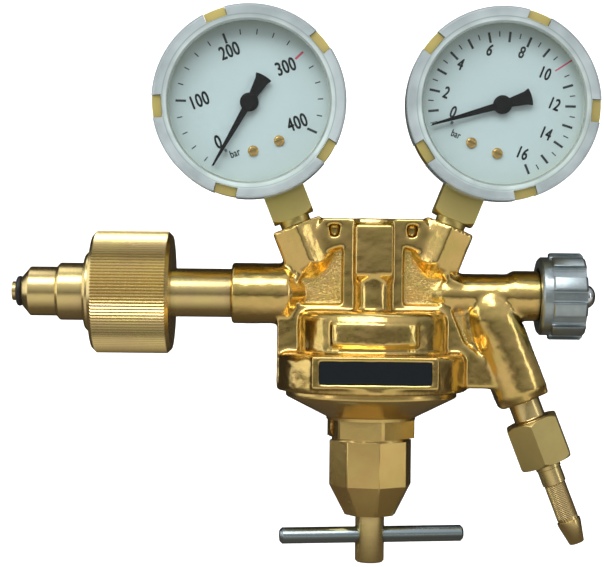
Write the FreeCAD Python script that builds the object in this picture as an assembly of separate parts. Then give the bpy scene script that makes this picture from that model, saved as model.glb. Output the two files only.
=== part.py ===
import FreeCAD, Part
import math
import os

# Single stage gas pressure regulator with two gauges, an outlet shut-off valve and a hose nipple.
# Millimetres. The origin lies on the inlet axis, at the step behind the nose of the inlet.
# +X runs from the inlet to the outlet valve, +Y away from the viewer and +Z up.

V = FreeCAD.Vector
EPS = 0.01

# Clearances
running_gap = 0.05
slip_gap = 0.15
loose_gap = 0.3

# Main axes
body_x = 106.0
gauge_tilt = 21.8
gauge_boss_x = 25.8
gauge_boss_z = 23.3
outlet_tilt = 21.3
outlet_root_x = 37.7
outlet_reach = 37.95
boss_top_to_gauge = 42.7

# Inlet stem
nose_d = 16.6
nose_len = 9.1
nose_cone_d = 10.0
nose_cone_len = 2.8
tip_d = 6.4
inlet_tip_len = 3.4
o_ring_wire_d = 1.9
step_d = 19.4
step_len = 9.5
step_lead = 1.0
collar_d = 27.0
collar_len = 5.0
stem_d = 16.4
stem_thread_d = 14.0
stem_thread_len = 14.0
gas_bore_d = 4.0
filter_d = 8.0
filter_len = 3.0

# Coupling nut
nut_d = 41.2
nut_len = 26.5
nut_x = 12.1
nut_bore_d = 28.0
nut_wall = 6.0
nut_chamfer = 1.4
knurl_count = 120
knurl_depth = 0.45
slip_ring_len = 1.6

# Forged body
web_t = 13.5
web_top_z = 25.4
web_top_x = 17.0
web_left_x = 31.9
web_foot_z = -31.1
web_notch_z = 6.0
panel_depth = 2.2
panel_edge = 1.2
panel_foot_z = -3.6
panel_corner_x = 7.0
pocket_w = 3.8
pocket_x = 13.0
pocket_top_z = 23.4
pocket_foot_z = 19.2
pocket_depth = 4.0
inlet_boss_d = 20.5
inlet_boss_x = 58.7
column_d = 19.2
pad_w = 12.6
pad_front = 13.5
pad_top_z = 23.3
pad_foot_z = 6.4
pad_bevel_h = 2.0
rib_d = 12.0
dome_d = 51.4
dome_top_z = -5.6
dome_round = 3.0
name_pad_w = 28.0
name_pad_h = 7.2
name_pad_z = -12.9
flange_d = 63.8
flange_top_z = -19.5
flange_h = 12.8
flange_round = 2.2
label_pad_w = 40.5
label_pad_h = 10.4
label_z = -25.0
label_w = 35.8
label_h = 7.3
label_t = 0.9
label_lip = 0.5
boss_flats = 17.0
boss_len = 20.0
valve_boss_d = 14.7
valve_boss_end_x = 57.0
valve_collar_d = 17.0
valve_collar_len = 9.7
chamber_d = 42.0
chamber_top_z = -14.0
diaphragm_z = -24.4
flange_wall = 4.4
high_chamber_d = 11.0
high_chamber_top_z = 12.0
nozzle_thread_d = 9.0

# Bonnet
bonnet_lip = 1.3
bonnet_disc_h = 2.2
bonnet_cone_d = 30.8
bonnet_cone_h = 6.5
bonnet_hex_flats = 26.6
bonnet_hex_d = 30.1
bonnet_hex_h = 7.0
bonnet_hex_turn = 13.4
housing_d = 28.2
housing_flats = 26.2
housing_h = 15.9
housing_turn = 32.5
taper_d = 16.4
taper_h = 10.2
bonnet_bore_d = 20.6
vent_d = 5.6
vent_turn = -166.6

# Adjusting screw, spring and diaphragm stack
screw_d = 9.8
screw_top_z = -54.0
screw_end_z = -90.1
tee_d = 5.5
tee_len = 62.9
tee_shift = 0.8
tee_z = -81.0
tee_turn = 9.0
tee_chamfer = 0.8
spring_mean_d = 15.4
spring_wire_d = 2.6
spring_turns = 4.0
spring_plate_d = 19.6
spring_plate_t = 3.0
spring_spigot_d = 11.6
spring_spigot_h = 3.0
diaphragm_t = 0.8
slip_washer_t = 0.5
diaphragm_disc_d = 30.0
diaphragm_disc_t = 2.0

# High pressure valve
nozzle_flats = 12.0
nozzle_head_h = 3.0
nozzle_seat_z = -6.0
nozzle_bore_d = 3.0
poppet_h = 8.0
pad_d = 6.4
pad_t = 1.6
pin_d = 1.6
poppet_spring_d = 6.0
poppet_spring_wire = 0.8
poppet_spring_turns = 4.0

# Outlet shut-off valve
valve_bore_d = 10.0
valve_seat_x = 31.0
disc_d = 8.6
disc_len = 4.0
seat_pad_d = 6.0
seat_pad_t = 1.5
spindle_d = 6.0
gland_thread_d = 12.0
gland_in = 10.0
gland_out = 5.0
packing_t = 3.0
wheel_x = 55.9
wheel_skirt_d = 26.4
wheel_skirt_len = 3.6
wheel_d = 29.3
wheel_len = 14.9
wheel_lobes = 10
wheel_valley = 1.9
wheel_bore_d = 19.0
wheel_wall = 5.0
cap_d = 8.3
cap_len = 4.5

# Outlet connection
neck_d = 10.6
neck_len = 6.9
outlet_thread_d = 12.6
outlet_thread_in = 9.0
outlet_nut_flats = 17.0
outlet_nut_len = 15.5
outlet_nut_turn = 10.0
nipple_collar_d = 8.6
nipple_collar_len = 2.0
nipple_d = 8.1
nipple_len = 28.8
nipple_grip_x = 7.5
nipple_grip_d = 6.9
nipple_grip_end_d = 7.4
barb_x = 20.6
barb_d = 8.0
barb_end_d = 5.1
cone_len = 3.0
nut_end_wall = 3.0
hose_bore_d = 3.2

# Gauges
window_d = 63.8
window_front = -18.5
window_t = 2.2
rim_w = 5.0
rim_rise = 0.9
skirt_len = 9.0
skirt_wall = 2.05
case_wall = 1.0
case_bend = 1.5
case_back = 11.0
lug_count = 5
lug_w = 7.2
high_lug_turn = 112.0
low_lug_turn = 140.0
high_rest = 240.7
low_rest = 196.3
stop_turn = 3.9
lug_rise = 2.0
dial_y = -11.6
dial_t = 0.5
dial_hole_d = 3.0
dial_screw_d = 3.5
dial_screw_x = 4.6
dial_screw_z = -15.3
stop_pin_d = 1.0
stop_pin_r = 17.7
pointer_y = -13.6
pointer_t = 0.5
pointer_len = 24.1
pointer_tail = 10.0
pointer_hub_d = 6.2
arbor_d = 1.2
socket_w = 14.0
socket_neck_d = 10.4
socket_neck_len = 2.2
socket_thread_d = 13.0
socket_thread_len = 12.0
seal_t = 1.5
block_w = 11.0
block_back = 6.8
block_front = -2.6
block_top = -10.0
tube_room = 5.9
tube_w = 8.0
tube_t = 2.6
tube_end = 192.0
tip_len = 3.0
plate_w = 24.0
plate_top = 6.0
plate_foot = -22.0
plate_back_y = -3.4
plate_front_y = -9.6
plate_t = 0.8
gear_module = 0.4
pinion_teeth = 10
gear_ratio = 7
gear_y = -7.2
gear_t = 1.2
tooth_high = 0.34
tooth_deep = 0.55
sector_teeth = 13
sector_spare = 2
tail_len = 8.5
link_w = 1.8
link_t = 0.8
link_pin_d = 0.9
plug_d = 12.0
plug_z = 14.0

# Worked-out places
gauge_angle = math.radians(gauge_tilt)
gauge_x = gauge_boss_x + boss_top_to_gauge * math.sin(gauge_angle)
gauge_z = gauge_boss_z + boss_top_to_gauge * math.cos(gauge_angle)
flange_foot_z = flange_top_z - flange_h
bonnet_top_z = diaphragm_z - diaphragm_t - slip_washer_t
cone_top_z = flange_foot_z - bonnet_disc_h
hex_top_z = cone_top_z - bonnet_cone_h
housing_top_z = hex_top_z - bonnet_hex_h
taper_top_z = housing_top_z - housing_h
bonnet_foot_z = taper_top_z - taper_h
upper_plate_z = diaphragm_z - diaphragm_t
bonnet_thread_d = flange_d - 2 * flange_wall
bonnet_disc_d = bonnet_thread_d + 2 * bonnet_lip
stem_end_x = inlet_boss_x + stem_thread_len
outlet_end_x = body_x + outlet_root_x + outlet_reach * math.sin(math.radians(outlet_tilt))
outlet_end_z = -outlet_reach * math.cos(math.radians(outlet_tilt))
poppet_d = high_chamber_d - 2 * running_gap
pinion_r = gear_module * pinion_teeth / 2.0
sector_r = pinion_r * gear_ratio
sector_z = -(pinion_r + sector_r)
case_front = window_front + rim_rise + window_t
case_d = window_d - 2 * (skirt_wall + slip_gap)
tube_r = case_d / 2.0 - case_wall - tube_t / 2.0 - tube_room
tube_start = -math.degrees(math.acos(block_w / 2.0 / tube_r)) - 2.0
tube_y = (block_back + block_front - tube_w) / 2.0


def turned(stations):
    """Solid of revolution about Z through (height, diameter) stations."""
    points = [V(d / 2.0, 0, z) for z, d in stations]
    if stations[0][1] > 0:
        points.insert(0, V(0, 0, stations[0][0]))
    if stations[-1][1] > 0:
        points.append(V(0, 0, stations[-1][0]))
    points.append(points[0])
    return Part.Face(Part.makePolygon(points)).revolve(V(), V(0, 0, 1), 360)


def rod(d, z0, z1):
    """Plain cylinder about Z between two heights."""
    return Part.makeCylinder(d / 2.0, z1 - z0, V(0, 0, z0))


def ring(d_out, d_in, z0, z1):
    """Plain ring about Z between two heights."""
    return rod(d_out, z0, z1).cut(rod(d_in, z0 - 1, z1 + 1))


def polygon(sides, flats, z, turn=0.0):
    """Regular outline about Z, with the middle of one flat at the angle turn."""
    radius = flats / 2.0 / math.cos(math.pi / sides)
    angles = [math.radians(turn + 360.0 * (i + 0.5) / sides) for i in range(sides + 1)]
    return Part.makePolygon([V(radius * math.cos(a), radius * math.sin(a), z) for a in angles])


def prism(sides, flats, z0, z1, turn=0.0):
    """Regular prism about Z between two heights."""
    return Part.Face(polygon(sides, flats, z0, turn)).extrude(V(0, 0, z1 - z0))


def block(x0, x1, y0, y1, z0, z1):
    """Box between opposite corners."""
    return Part.makeBox(x1 - x0, y1 - y0, z1 - z0, V(x0, y0, z0))


def plate(points, y0, y1):
    """Flat outline in X and Z, carried from y0 to y1."""
    corners = [V(x, y0, z) for x, z in points]
    corners.append(corners[0])
    return Part.Face(Part.makePolygon(corners)).extrude(V(0, y1 - y0, 0))


def placed(shape, x=0.0, z=0.0, turn=0.0):
    """Turn a shape about Y and carry its origin to a place in the plane of the body."""
    result = shape.copy()
    move = FreeCAD.Placement(V(x, 0, z), FreeCAD.Rotation(V(0, 1, 0), turn))
    result.Placement = move.multiply(result.Placement)
    return result


def facing_back(shape):
    """Lay a shape that was made about Z along Y, so that its heights run away from the viewer."""
    result = shape.copy()
    result.Placement = FreeCAD.Placement(V(), FreeCAD.Rotation(V(1, 0, 0), -90)).multiply(result.Placement)
    return result


def joined(shapes):
    """One solid from touching shapes."""
    return shapes[0].multiFuse(shapes[1:]).removeSplitter()


def rounded(shape, radius, chosen):
    """Round the edges that a test picks."""
    return shape.makeFillet(radius, [edge for edge in shape.Edges if chosen(edge)])


def circle_at(z, d):
    """Test for a round edge at a height, with a diameter."""
    def test(edge):
        curve = edge.Curve
        is_round = curve.TypeId == "Part::GeomCircle"
        return is_round and abs(curve.Radius - d / 2.0) < EPS and abs(curve.Center.z - z) < EPS
    return test


def coil(mean_d, wire_d, turns, z0, z1):
    """Round wire wound about Z between two heights."""
    rise = z1 - z0 - wire_d
    path = Part.makeHelix(rise / turns, rise, mean_d / 2.0)
    wire = Part.Wire(Part.makeCircle(wire_d / 2.0, V(mean_d / 2.0, 0, 0), V(0, 1, 0)))
    spring = Part.Wire(path.Edges).makePipeShell([wire], True, True)
    return placed(spring, 0, z0 + wire_d / 2.0)


def on_inlet(shape, x=0.0):
    """Lay a shape made about Z along the inlet axis."""
    return placed(shape, x, 0, 90)


def on_body(shape):
    """Stand a shape made about Z on the bonnet axis."""
    return placed(shape, body_x, 0, 0)


def on_valve(shape):
    """Lay a shape made about Z along the outlet valve, with heights from the body axis."""
    return placed(shape, body_x, 0, 90)


def on_outlet(shape):
    """Lay a shape along the outlet, with heights from the end of its boss."""
    return placed(shape, outlet_end_x, outlet_end_z, 180 - outlet_tilt)


def on_gauge(shape, side):
    """Carry a shape made round the gauge centre to one gauge."""
    return placed(shape, body_x + side * gauge_x, gauge_z, side * gauge_tilt)


def inlet_stem():
    back = inlet_boss_x
    outside = turned([
        (-nose_len - nose_cone_len - inlet_tip_len, tip_d),
        (-nose_len - nose_cone_len, tip_d),
        (-nose_len - nose_cone_len, nose_cone_d),
        (-nose_len, nose_d),
        (0, nose_d),
        (0, step_d - 2 * step_lead),
        (step_lead, step_d),
        (step_len, step_d),
        (step_len, collar_d - 2.0),
        (step_len + 1.0, collar_d),
        (step_len + collar_len, collar_d),
        (step_len + collar_len, stem_d),
        (back, stem_d),
        (back, stem_thread_d),
        (stem_end_x, stem_thread_d),
    ])
    bore = rod(gas_bore_d, -nose_len - nose_cone_len - inlet_tip_len - 1, stem_end_x + 1)
    pocket = rod(filter_d, stem_end_x - filter_len, stem_end_x + 1)
    return on_inlet(outside.cut(bore).cut(pocket))


def inlet_o_ring():
    seat_x = -nose_len - nose_cone_len
    middle_d = tip_d + o_ring_wire_d
    torus = Part.makeTorus(middle_d / 2.0, o_ring_wire_d / 2.0, V(0, 0, seat_x - o_ring_wire_d / 2.0))
    return on_inlet(torus)


def inlet_filter():
    return on_inlet(rod(filter_d, stem_end_x - filter_len, stem_end_x))


def stem_seal_washer():
    return on_inlet(ring(stem_thread_d, gas_bore_d + 2.0, stem_end_x, stem_end_x + seal_t))


def coupling_nut():
    ridges = []
    for i in range(2 * knurl_count + 1):
        radius = nut_d / 2.0 - (knurl_depth if i % 2 else 0.0)
        angle = math.pi * i / knurl_count
        ridges.append(V(radius * math.cos(angle), radius * math.sin(angle), 0))
    knurled = Part.Face(Part.makePolygon(ridges)).extrude(V(0, 0, nut_len))
    envelope = turned([
        (0, nut_d - 2 * nut_chamfer),
        (nut_chamfer, nut_d + EPS),
        (nut_len - nut_chamfer, nut_d + EPS),
        (nut_len, nut_d - 2 * nut_chamfer),
    ])
    back = nut_len - nut_wall
    bore = turned([
        (-1, nut_bore_d + 2.0),
        (0, nut_bore_d + 2.0),
        (1.0, nut_bore_d),
        (back, nut_bore_d),
        (back, stem_d + 2 * slip_gap),
        (nut_len + 1, stem_d + 2 * slip_gap),
    ])
    return on_inlet(knurled.common(envelope).cut(bore), nut_x)


def coupling_slip_ring():
    back = nut_x + nut_len - nut_wall
    return on_inlet(ring(nut_bore_d - 2 * loose_gap, stem_d + 2 * running_gap, back - slip_ring_len, back))


def web():
    """Flat forged web that ties the bosses, the column and the dome together, with sunk panels."""
    foot_x = outlet_root_x - web_foot_z * math.tan(math.radians(outlet_tilt))
    outline = [
        (-web_top_x, web_top_z),
        (web_top_x, web_top_z),
        (gauge_boss_x, web_notch_z),
        (outlet_root_x, 0.0),
        (foot_x, web_foot_z),
        (-web_left_x, web_foot_z),
        (-web_left_x, -6.0),
        (-gauge_boss_x, web_notch_z),
    ]
    half = web_t / 2.0
    sheet = plate(outline, -half, half)
    side_x = column_d / 2.0 + 0.4
    edge_z = pocket_foot_z - 3.3
    left_panel = [
        (-side_x, edge_z),
        (-side_x, panel_foot_z),
        (panel_corner_x - web_left_x, panel_foot_z),
        (panel_edge - gauge_boss_x, web_notch_z - panel_edge),
        (-web_top_x, edge_z - 2.0),
    ]
    right_panel = [
        (side_x, edge_z),
        (side_x, panel_foot_z),
        (dome_d / 2.0, panel_foot_z),
        (flange_d / 2.0 - 1.5, flange_top_z + 4.0),
        (foot_x - 10.0, flange_top_z - 4.0),
        (foot_x - 6.0, flange_top_z - 4.0),
        (outlet_root_x - 1.5, -6.0),
        (gauge_boss_x + 2.0, 0.0),
        (gauge_boss_x - panel_edge, web_notch_z - panel_edge),
        (web_top_x, edge_z - 2.0),
    ]
    half_w = pocket_w / 2.0
    for side in (-1, 1):
        for panel in (left_panel, right_panel):
            y0, y1 = sorted((side * (half - panel_depth), side * (half + 1)))
            sheet = sheet.cut(plate(panel, y0, y1))
        for middle in (-pocket_x, pocket_x):
            pocket = [
                (middle - half_w, pocket_top_z),
                (middle + half_w, pocket_top_z),
                (middle + half_w * 0.7, pocket_foot_z),
                (middle - half_w * 0.7, pocket_foot_z),
            ]
            y0, y1 = sorted((side * (half - pocket_depth), side * (half + 1)))
            sheet = sheet.cut(plate(pocket, y0, y1))
    return sheet


def column():
    """Upright column over the valve, with a flat pad and a round rib, front and back."""
    shaft = rod(column_d, dome_top_z - 1, web_top_z)
    shapes = [shaft]
    for side in (-1, 1):
        pad = block(-pad_w / 2.0, pad_w / 2.0, 0.0, pad_front, pad_foot_z - pad_bevel_h, pad_top_z)
        pad = pad.makeChamfer(pad_bevel_h, [
            edge for edge in pad.Edges
            if edge.BoundBox.YMin > pad_front - EPS and edge.BoundBox.ZMax < pad_foot_z
        ])
        shapes.append(pad if side > 0 else pad.mirror(V(), V(0, 1, 0)))
        rib_y = side * (pad_front - rib_d / 2.0 - 0.5)
        shapes.append(rod(rib_d, dome_top_z - 1, pad_foot_z).translate(V(0, rib_y, 0)))
    return joined(shapes)


def dome_and_flange():
    """Diaphragm housing: a round dome over a wide flange, with its raised pads."""
    dome = rounded(rod(dome_d, flange_top_z - 1, dome_top_z), dome_round, circle_at(dome_top_z, dome_d))
    flange = rod(flange_d, flange_foot_z, flange_top_z)
    flange = rounded(flange, flange_round, circle_at(flange_top_z, flange_d))
    half_w = name_pad_w / 2.0
    half_h = name_pad_h / 2.0
    name_pad = rod(dome_d + 1.8, name_pad_z - half_h, name_pad_z + half_h)
    name_pad = name_pad.common(block(-half_w, half_w, -dome_d, 0, name_pad_z - half_h, name_pad_z + half_h))
    low = label_z - label_pad_h / 2.0
    high = label_z + label_pad_h / 2.0
    front = -flange_d / 2.0
    label_pad = block(-label_pad_w / 2.0, label_pad_w / 2.0, front, 0, low, high)
    return joined([dome, flange, name_pad, label_pad])


def gas_passages():
    """Everything that is bored in the body, in the frame of the bonnet axis."""
    inlet_reach = stem_end_x + seal_t - body_x
    cuts = [
        rod(bonnet_thread_d, flange_foot_z - 1, diaphragm_z),
        rod(chamber_d, diaphragm_z - 1, chamber_top_z),
        rod(nozzle_thread_d, chamber_top_z - 1, dome_top_z - 1),
        rod(high_chamber_d, dome_top_z - 1 - EPS, high_chamber_top_z),
        placed(rod(stem_thread_d, inlet_boss_x - body_x - 1, inlet_reach), 0, 0, 90),
        placed(rod(gas_bore_d, inlet_reach - 1, 0), 0, 0, 90),
        placed(rod(valve_bore_d, valve_seat_x, valve_boss_end_x + 1), 0, 0, 90),
        placed(rod(gland_thread_d, valve_boss_end_x - gland_in, valve_boss_end_x + 1), 0, 0, 90),
    ]
    low_x = gauge_boss_x - gauge_boss_z * math.tan(gauge_angle)
    cuts.append(placed(rod(gas_bore_d, low_x, valve_seat_x + 1), 0, 0, 90))
    cuts.append(rod(gas_bore_d, chamber_top_z - 1, 0).translate(V(low_x, 0, 0)))
    reach = gauge_boss_z / math.cos(gauge_angle)
    for side in (-1, 1):
        port = rod(socket_thread_d, -socket_thread_len - socket_neck_len - seal_t, 1)
        port = port.fuse(rod(gas_bore_d - 1, -reach, -socket_thread_len))
        cuts.append(placed(port, side * gauge_boss_x, gauge_boss_z, side * gauge_tilt))
    outlet = rod(outlet_thread_d - 2.0, -outlet_thread_in, 1).fuse(rod(gas_bore_d, -outlet_reach, 0))
    end_x = outlet_end_x - body_x
    cuts.append(placed(outlet, end_x, outlet_end_z, 180 - outlet_tilt))
    return cuts


def regulator_body():
    inlet_end = inlet_boss_x - body_x
    inlet_boss = turned([
        (inlet_end, inlet_boss_d - 1.0),
        (inlet_end + 0.5, inlet_boss_d),
        (-28.4, inlet_boss_d),
        (-21.0, 8.0),
    ])
    collar_x = valve_boss_end_x - valve_collar_len
    valve_boss = turned([
        (16.0, 6.0),
        (24.0, valve_boss_d),
        (collar_x - 1.8, valve_boss_d),
        (collar_x, valve_collar_d),
        (valve_boss_end_x, valve_collar_d),
    ])
    outlet_boss = prism(6, boss_flats, -outlet_reach + 4.0, 0)
    outlet_boss = outlet_boss.common(turned([
        (-outlet_reach + 4.0, 2.0),
        (-outlet_reach + 14.0, boss_flats * 1.2),
        (-0.8, boss_flats * 1.2),
        (0, boss_flats * 1.1),
    ]))
    shapes = [web(), column(), dome_and_flange()]
    shapes.append(placed(inlet_boss, 0, 0, 90))
    shapes.append(placed(valve_boss, 0, 0, 90))
    shapes.append(placed(outlet_boss, outlet_end_x - body_x, outlet_end_z, 180 - outlet_tilt))
    for side in (-1, 1):
        boss = prism(6, boss_flats, -boss_len, 0).common(turned([
            (-boss_len, 7.0),
            (-boss_len + 7.0, boss_flats * 1.2),
            (-0.5, boss_flats * 1.2),
            (0, boss_flats * 1.12),
        ]))
        shapes.append(placed(boss, side * gauge_boss_x, gauge_boss_z, side * gauge_tilt))
    body = joined(shapes)
    sink = label_t - label_lip
    body = body.cut(block(
        -label_w / 2.0 - slip_gap, label_w / 2.0 + slip_gap,
        -flange_d / 2.0 - 1, -flange_d / 2.0 + label_lip + sink,
        label_z - label_h / 2.0 - slip_gap, label_z + label_h / 2.0 + slip_gap,
    ))
    for tool in gas_passages():
        body = body.cut(tool)
    return on_body(body)


def label_plate():
    back = -flange_d / 2.0 + label_t
    shape = block(
        -label_w / 2.0, label_w / 2.0, back - label_t + 0.1, back,
        label_z - label_h / 2.0, label_z + label_h / 2.0,
    )
    return on_body(shape)


def bonnet():
    outside = turned([
        (bonnet_top_z, bonnet_thread_d),
        (flange_foot_z, bonnet_thread_d),
        (flange_foot_z, bonnet_disc_d),
        (cone_top_z + 0.5, bonnet_disc_d),
        (cone_top_z, bonnet_disc_d - 1.0),
        (hex_top_z, bonnet_cone_d),
        (hex_top_z, bonnet_hex_d),
        (hex_top_z - 1.0, bonnet_hex_d),
    ])
    hexagon = prism(6, bonnet_hex_flats, housing_top_z, hex_top_z, bonnet_hex_turn)
    hexagon = hexagon.common(rod(bonnet_hex_d, housing_top_z, hex_top_z))
    groove = rod(housing_flats, housing_top_z - 1.0, housing_top_z)
    housing = prism(8, housing_flats, taper_top_z, housing_top_z - 1.0, housing_turn)
    housing = housing.common(rod(housing_d, taper_top_z, housing_top_z))
    wide = polygon(8, housing_flats, taper_top_z, housing_turn)
    narrow = polygon(8, taper_d, bonnet_foot_z, housing_turn)
    taper = Part.makeLoft([wide, narrow], True, True)
    taper = taper.common(turned([(bonnet_foot_z, taper_d * 1.05), (taper_top_z, housing_d)]))
    shape = joined([outside, hexagon, groove, housing, taper])
    plate_room = diaphragm_disc_d + 6.0
    bore = turned([
        (taper_top_z, screw_d + 2 * running_gap),
        (taper_top_z + 1.0, bonnet_bore_d),
        (hex_top_z, bonnet_bore_d),
        (bonnet_top_z - 4.0, plate_room),
        (bonnet_top_z + 1, plate_room + 8.0),
    ])
    thread = rod(screw_d + 2 * running_gap, bonnet_foot_z - 1, taper_top_z + 1)
    vent_z = hex_top_z - bonnet_hex_h / 2.0
    vent = Part.makeCylinder(
        vent_d / 2.0, bonnet_hex_d, V(0, 0, vent_z),
        V(math.cos(math.radians(vent_turn)), math.sin(math.radians(vent_turn)), 0),
    )
    return on_body(shape.cut(bore).cut(thread).cut(vent))


def adjusting_screw():
    shape = turned([
        (screw_end_z, screw_d - 1.2),
        (screw_end_z + 0.6, screw_d),
        (screw_top_z - 2.0, screw_d),
        (screw_top_z, 5.0),
    ])
    hole = Part.makeCylinder(
        tee_d / 2.0, 2 * screw_d, V(-screw_d, 0, 0), V(1, 0, 0))
    hole.rotate(V(), V(0, 0, 1), tee_turn)
    hole.translate(V(0, 0, tee_z))
    return on_body(shape.cut(hole))


def tee_bar():
    start = tee_shift - tee_len / 2.0
    end = tee_shift + tee_len / 2.0
    shape = turned([
        (start, tee_d - 2 * tee_chamfer),
        (start + tee_chamfer, tee_d),
        (end - tee_chamfer, tee_d),
        (end, tee_d - 2 * tee_chamfer),
    ])
    shape = placed(shape, 0, 0, 90)
    shape.rotate(V(), V(0, 0, 1), tee_turn)
    shape.translate(V(0, 0, tee_z))
    return on_body(shape)


def lower_spring_plate():
    top = screw_top_z + spring_plate_t
    shape = turned([
        (screw_top_z, spring_plate_d),
        (top, spring_plate_d),
        (top, spring_spigot_d),
        (top + spring_spigot_h, spring_spigot_d - 1.0),
    ])
    return on_body(shape)


def upper_spring_plate():
    foot = upper_plate_z - diaphragm_disc_t
    shape = turned([
        (foot - spring_spigot_h, spring_spigot_d - 1.0),
        (foot, spring_spigot_d),
        (foot, diaphragm_disc_d),
        (upper_plate_z, diaphragm_disc_d),
    ])
    return on_body(shape)


def range_spring():
    foot = screw_top_z + spring_plate_t
    top = upper_plate_z - diaphragm_disc_t
    return on_body(coil(spring_mean_d, spring_wire_d, spring_turns, foot, top))


def diaphragm():
    return on_body(rod(bonnet_thread_d - 2 * loose_gap, upper_plate_z, diaphragm_z))


def diaphragm_slip_washer():
    inner = bonnet_thread_d - 9.0
    return on_body(ring(bonnet_thread_d - 2 * loose_gap, inner, bonnet_top_z, upper_plate_z))


def diaphragm_disc():
    top = diaphragm_z + diaphragm_disc_t
    shape = turned([
        (diaphragm_z, diaphragm_disc_d - 4.0),
        (top, diaphragm_disc_d - 4.0),
        (top, 7.0),
        (top + 1.5, 6.0),
    ])
    return on_body(shape)


def valve_nozzle():
    head_foot = chamber_top_z - nozzle_head_h
    head = prism(6, nozzle_flats, head_foot, chamber_top_z)
    shank = turned([
        (chamber_top_z, nozzle_thread_d),
        (dome_top_z - 1, nozzle_thread_d),
        (dome_top_z - 1, nozzle_thread_d - 1.5),
        (nozzle_seat_z - 0.8, 5.4),
        (nozzle_seat_z, 4.4),
    ])
    return on_body(joined([head, shank]).cut(rod(nozzle_bore_d, head_foot - 1, nozzle_seat_z + 1)))


def valve_poppet():
    foot = nozzle_seat_z
    sides = prism(3, poppet_d * 0.62, foot, foot + poppet_h)
    body = sides.common(rod(poppet_d, foot, foot + poppet_h))
    spigot = rod(poppet_spring_d - 2.0, foot + poppet_h, foot + poppet_h + 2.0)
    pocket = rod(pad_d, foot - 1, foot + pad_t)
    return on_body(body.fuse(spigot).cut(pocket))


def poppet_pad():
    return on_body(rod(pad_d, nozzle_seat_z, nozzle_seat_z + pad_t))


def valve_pin():
    foot = diaphragm_z + diaphragm_disc_t + 1.5
    return on_body(rod(pin_d, foot, nozzle_seat_z))


def poppet_spring():
    foot = nozzle_seat_z + poppet_h
    shape = coil(poppet_spring_d, poppet_spring_wire, poppet_spring_turns, foot, high_chamber_top_z)
    return on_body(shape)


def shutoff_gland():
    inner_x = valve_boss_end_x - gland_in
    shape = turned([
        (inner_x, gland_thread_d),
        (valve_boss_end_x, gland_thread_d),
        (valve_boss_end_x, valve_collar_d - 1.0),
        (valve_boss_end_x + gland_out - 0.5, valve_collar_d - 1.0),
        (valve_boss_end_x + gland_out, valve_collar_d - 2.0),
    ])
    shape = shape.cut(rod(spindle_d + 2 * running_gap, inner_x - 1, valve_boss_end_x + gland_out + 1))
    shape = shape.cut(rod(spindle_d + 3.0, inner_x - 1, inner_x + packing_t))
    return on_valve(shape)


def shutoff_packing():
    inner_x = valve_boss_end_x - gland_in
    return on_valve(ring(spindle_d + 3.0, spindle_d + 2 * running_gap, inner_x, inner_x + packing_t))


def shutoff_disc():
    face_x = valve_seat_x + seat_pad_t - 0.5
    shape = rod(disc_d, face_x, face_x + disc_len)
    shape = shape.cut(rod(seat_pad_d, face_x - 1, face_x + 0.5))
    return on_valve(shape)


def shutoff_seat_pad():
    return on_valve(rod(seat_pad_d, valve_seat_x, valve_seat_x + seat_pad_t))


def shutoff_spindle():
    start = valve_seat_x + seat_pad_t - 0.5 + disc_len
    shoulder = wheel_x + wheel_len - wheel_wall
    end = wheel_x + wheel_len
    shape = joined([rod(spindle_d, start, shoulder), prism(4, spindle_d - 1.8, shoulder, end)])
    return on_valve(shape)


def shutoff_handwheel():
    end = wheel_x + wheel_len
    lobed_x = wheel_x + wheel_skirt_len
    body = turned([
        (wheel_x, wheel_skirt_d - 1.6),
        (wheel_x + 0.8, wheel_skirt_d),
        (lobed_x, wheel_skirt_d),
        (lobed_x, wheel_d - 0.8),
        (lobed_x + 0.4, wheel_d),
        (end - 0.9, wheel_d),
        (end, wheel_d - 1.8),
    ])
    step = 360.0 / wheel_lobes
    valley_w = math.pi * wheel_d / wheel_lobes * 0.46
    for i in range(wheel_lobes):
        groove = block(
            wheel_d / 2.0 - wheel_valley, wheel_d, -valley_w / 2.0, valley_w / 2.0, lobed_x, end + 1)
        groove = groove.makeFillet(0.9, [
            e for e in groove.Edges
            if e.BoundBox.XMax < wheel_d / 2.0 and e.BoundBox.ZLength > 1
        ])
        groove.rotate(V(), V(0, 0, 1), step * (i + 0.5))
        body = body.cut(groove)
    hollow = rod(wheel_bore_d, wheel_x - 1, end - wheel_wall)
    square = prism(4, spindle_d - 1.8 + 2 * EPS, end - wheel_wall - 1, end + 1)
    return on_valve(body.cut(hollow).cut(square))


def handwheel_cap():
    start = wheel_x + wheel_len
    shape = rod(cap_d, start, start + cap_len)
    shape = rounded(shape, cap_len * 0.8, circle_at(start + cap_len, cap_d))
    return on_valve(shape)


def outlet_adapter():
    thread_end = neck_len + outlet_nut_len * 0.5
    shape = turned([
        (-outlet_thread_in, outlet_thread_d - 2.0),
        (0, outlet_thread_d - 2.0),
        (0, neck_d),
        (neck_len - 0.8, neck_d),
        (neck_len, outlet_thread_d),
        (thread_end - 0.8, outlet_thread_d),
        (thread_end, outlet_thread_d - 1.6),
    ])
    seat = turned([(thread_end - cone_len, hose_bore_d + 1.0), (thread_end, nipple_collar_d + 1.0)])
    shape = shape.cut(seat).cut(rod(hose_bore_d, -outlet_thread_in - 1, thread_end))
    return on_outlet(shape)


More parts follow.
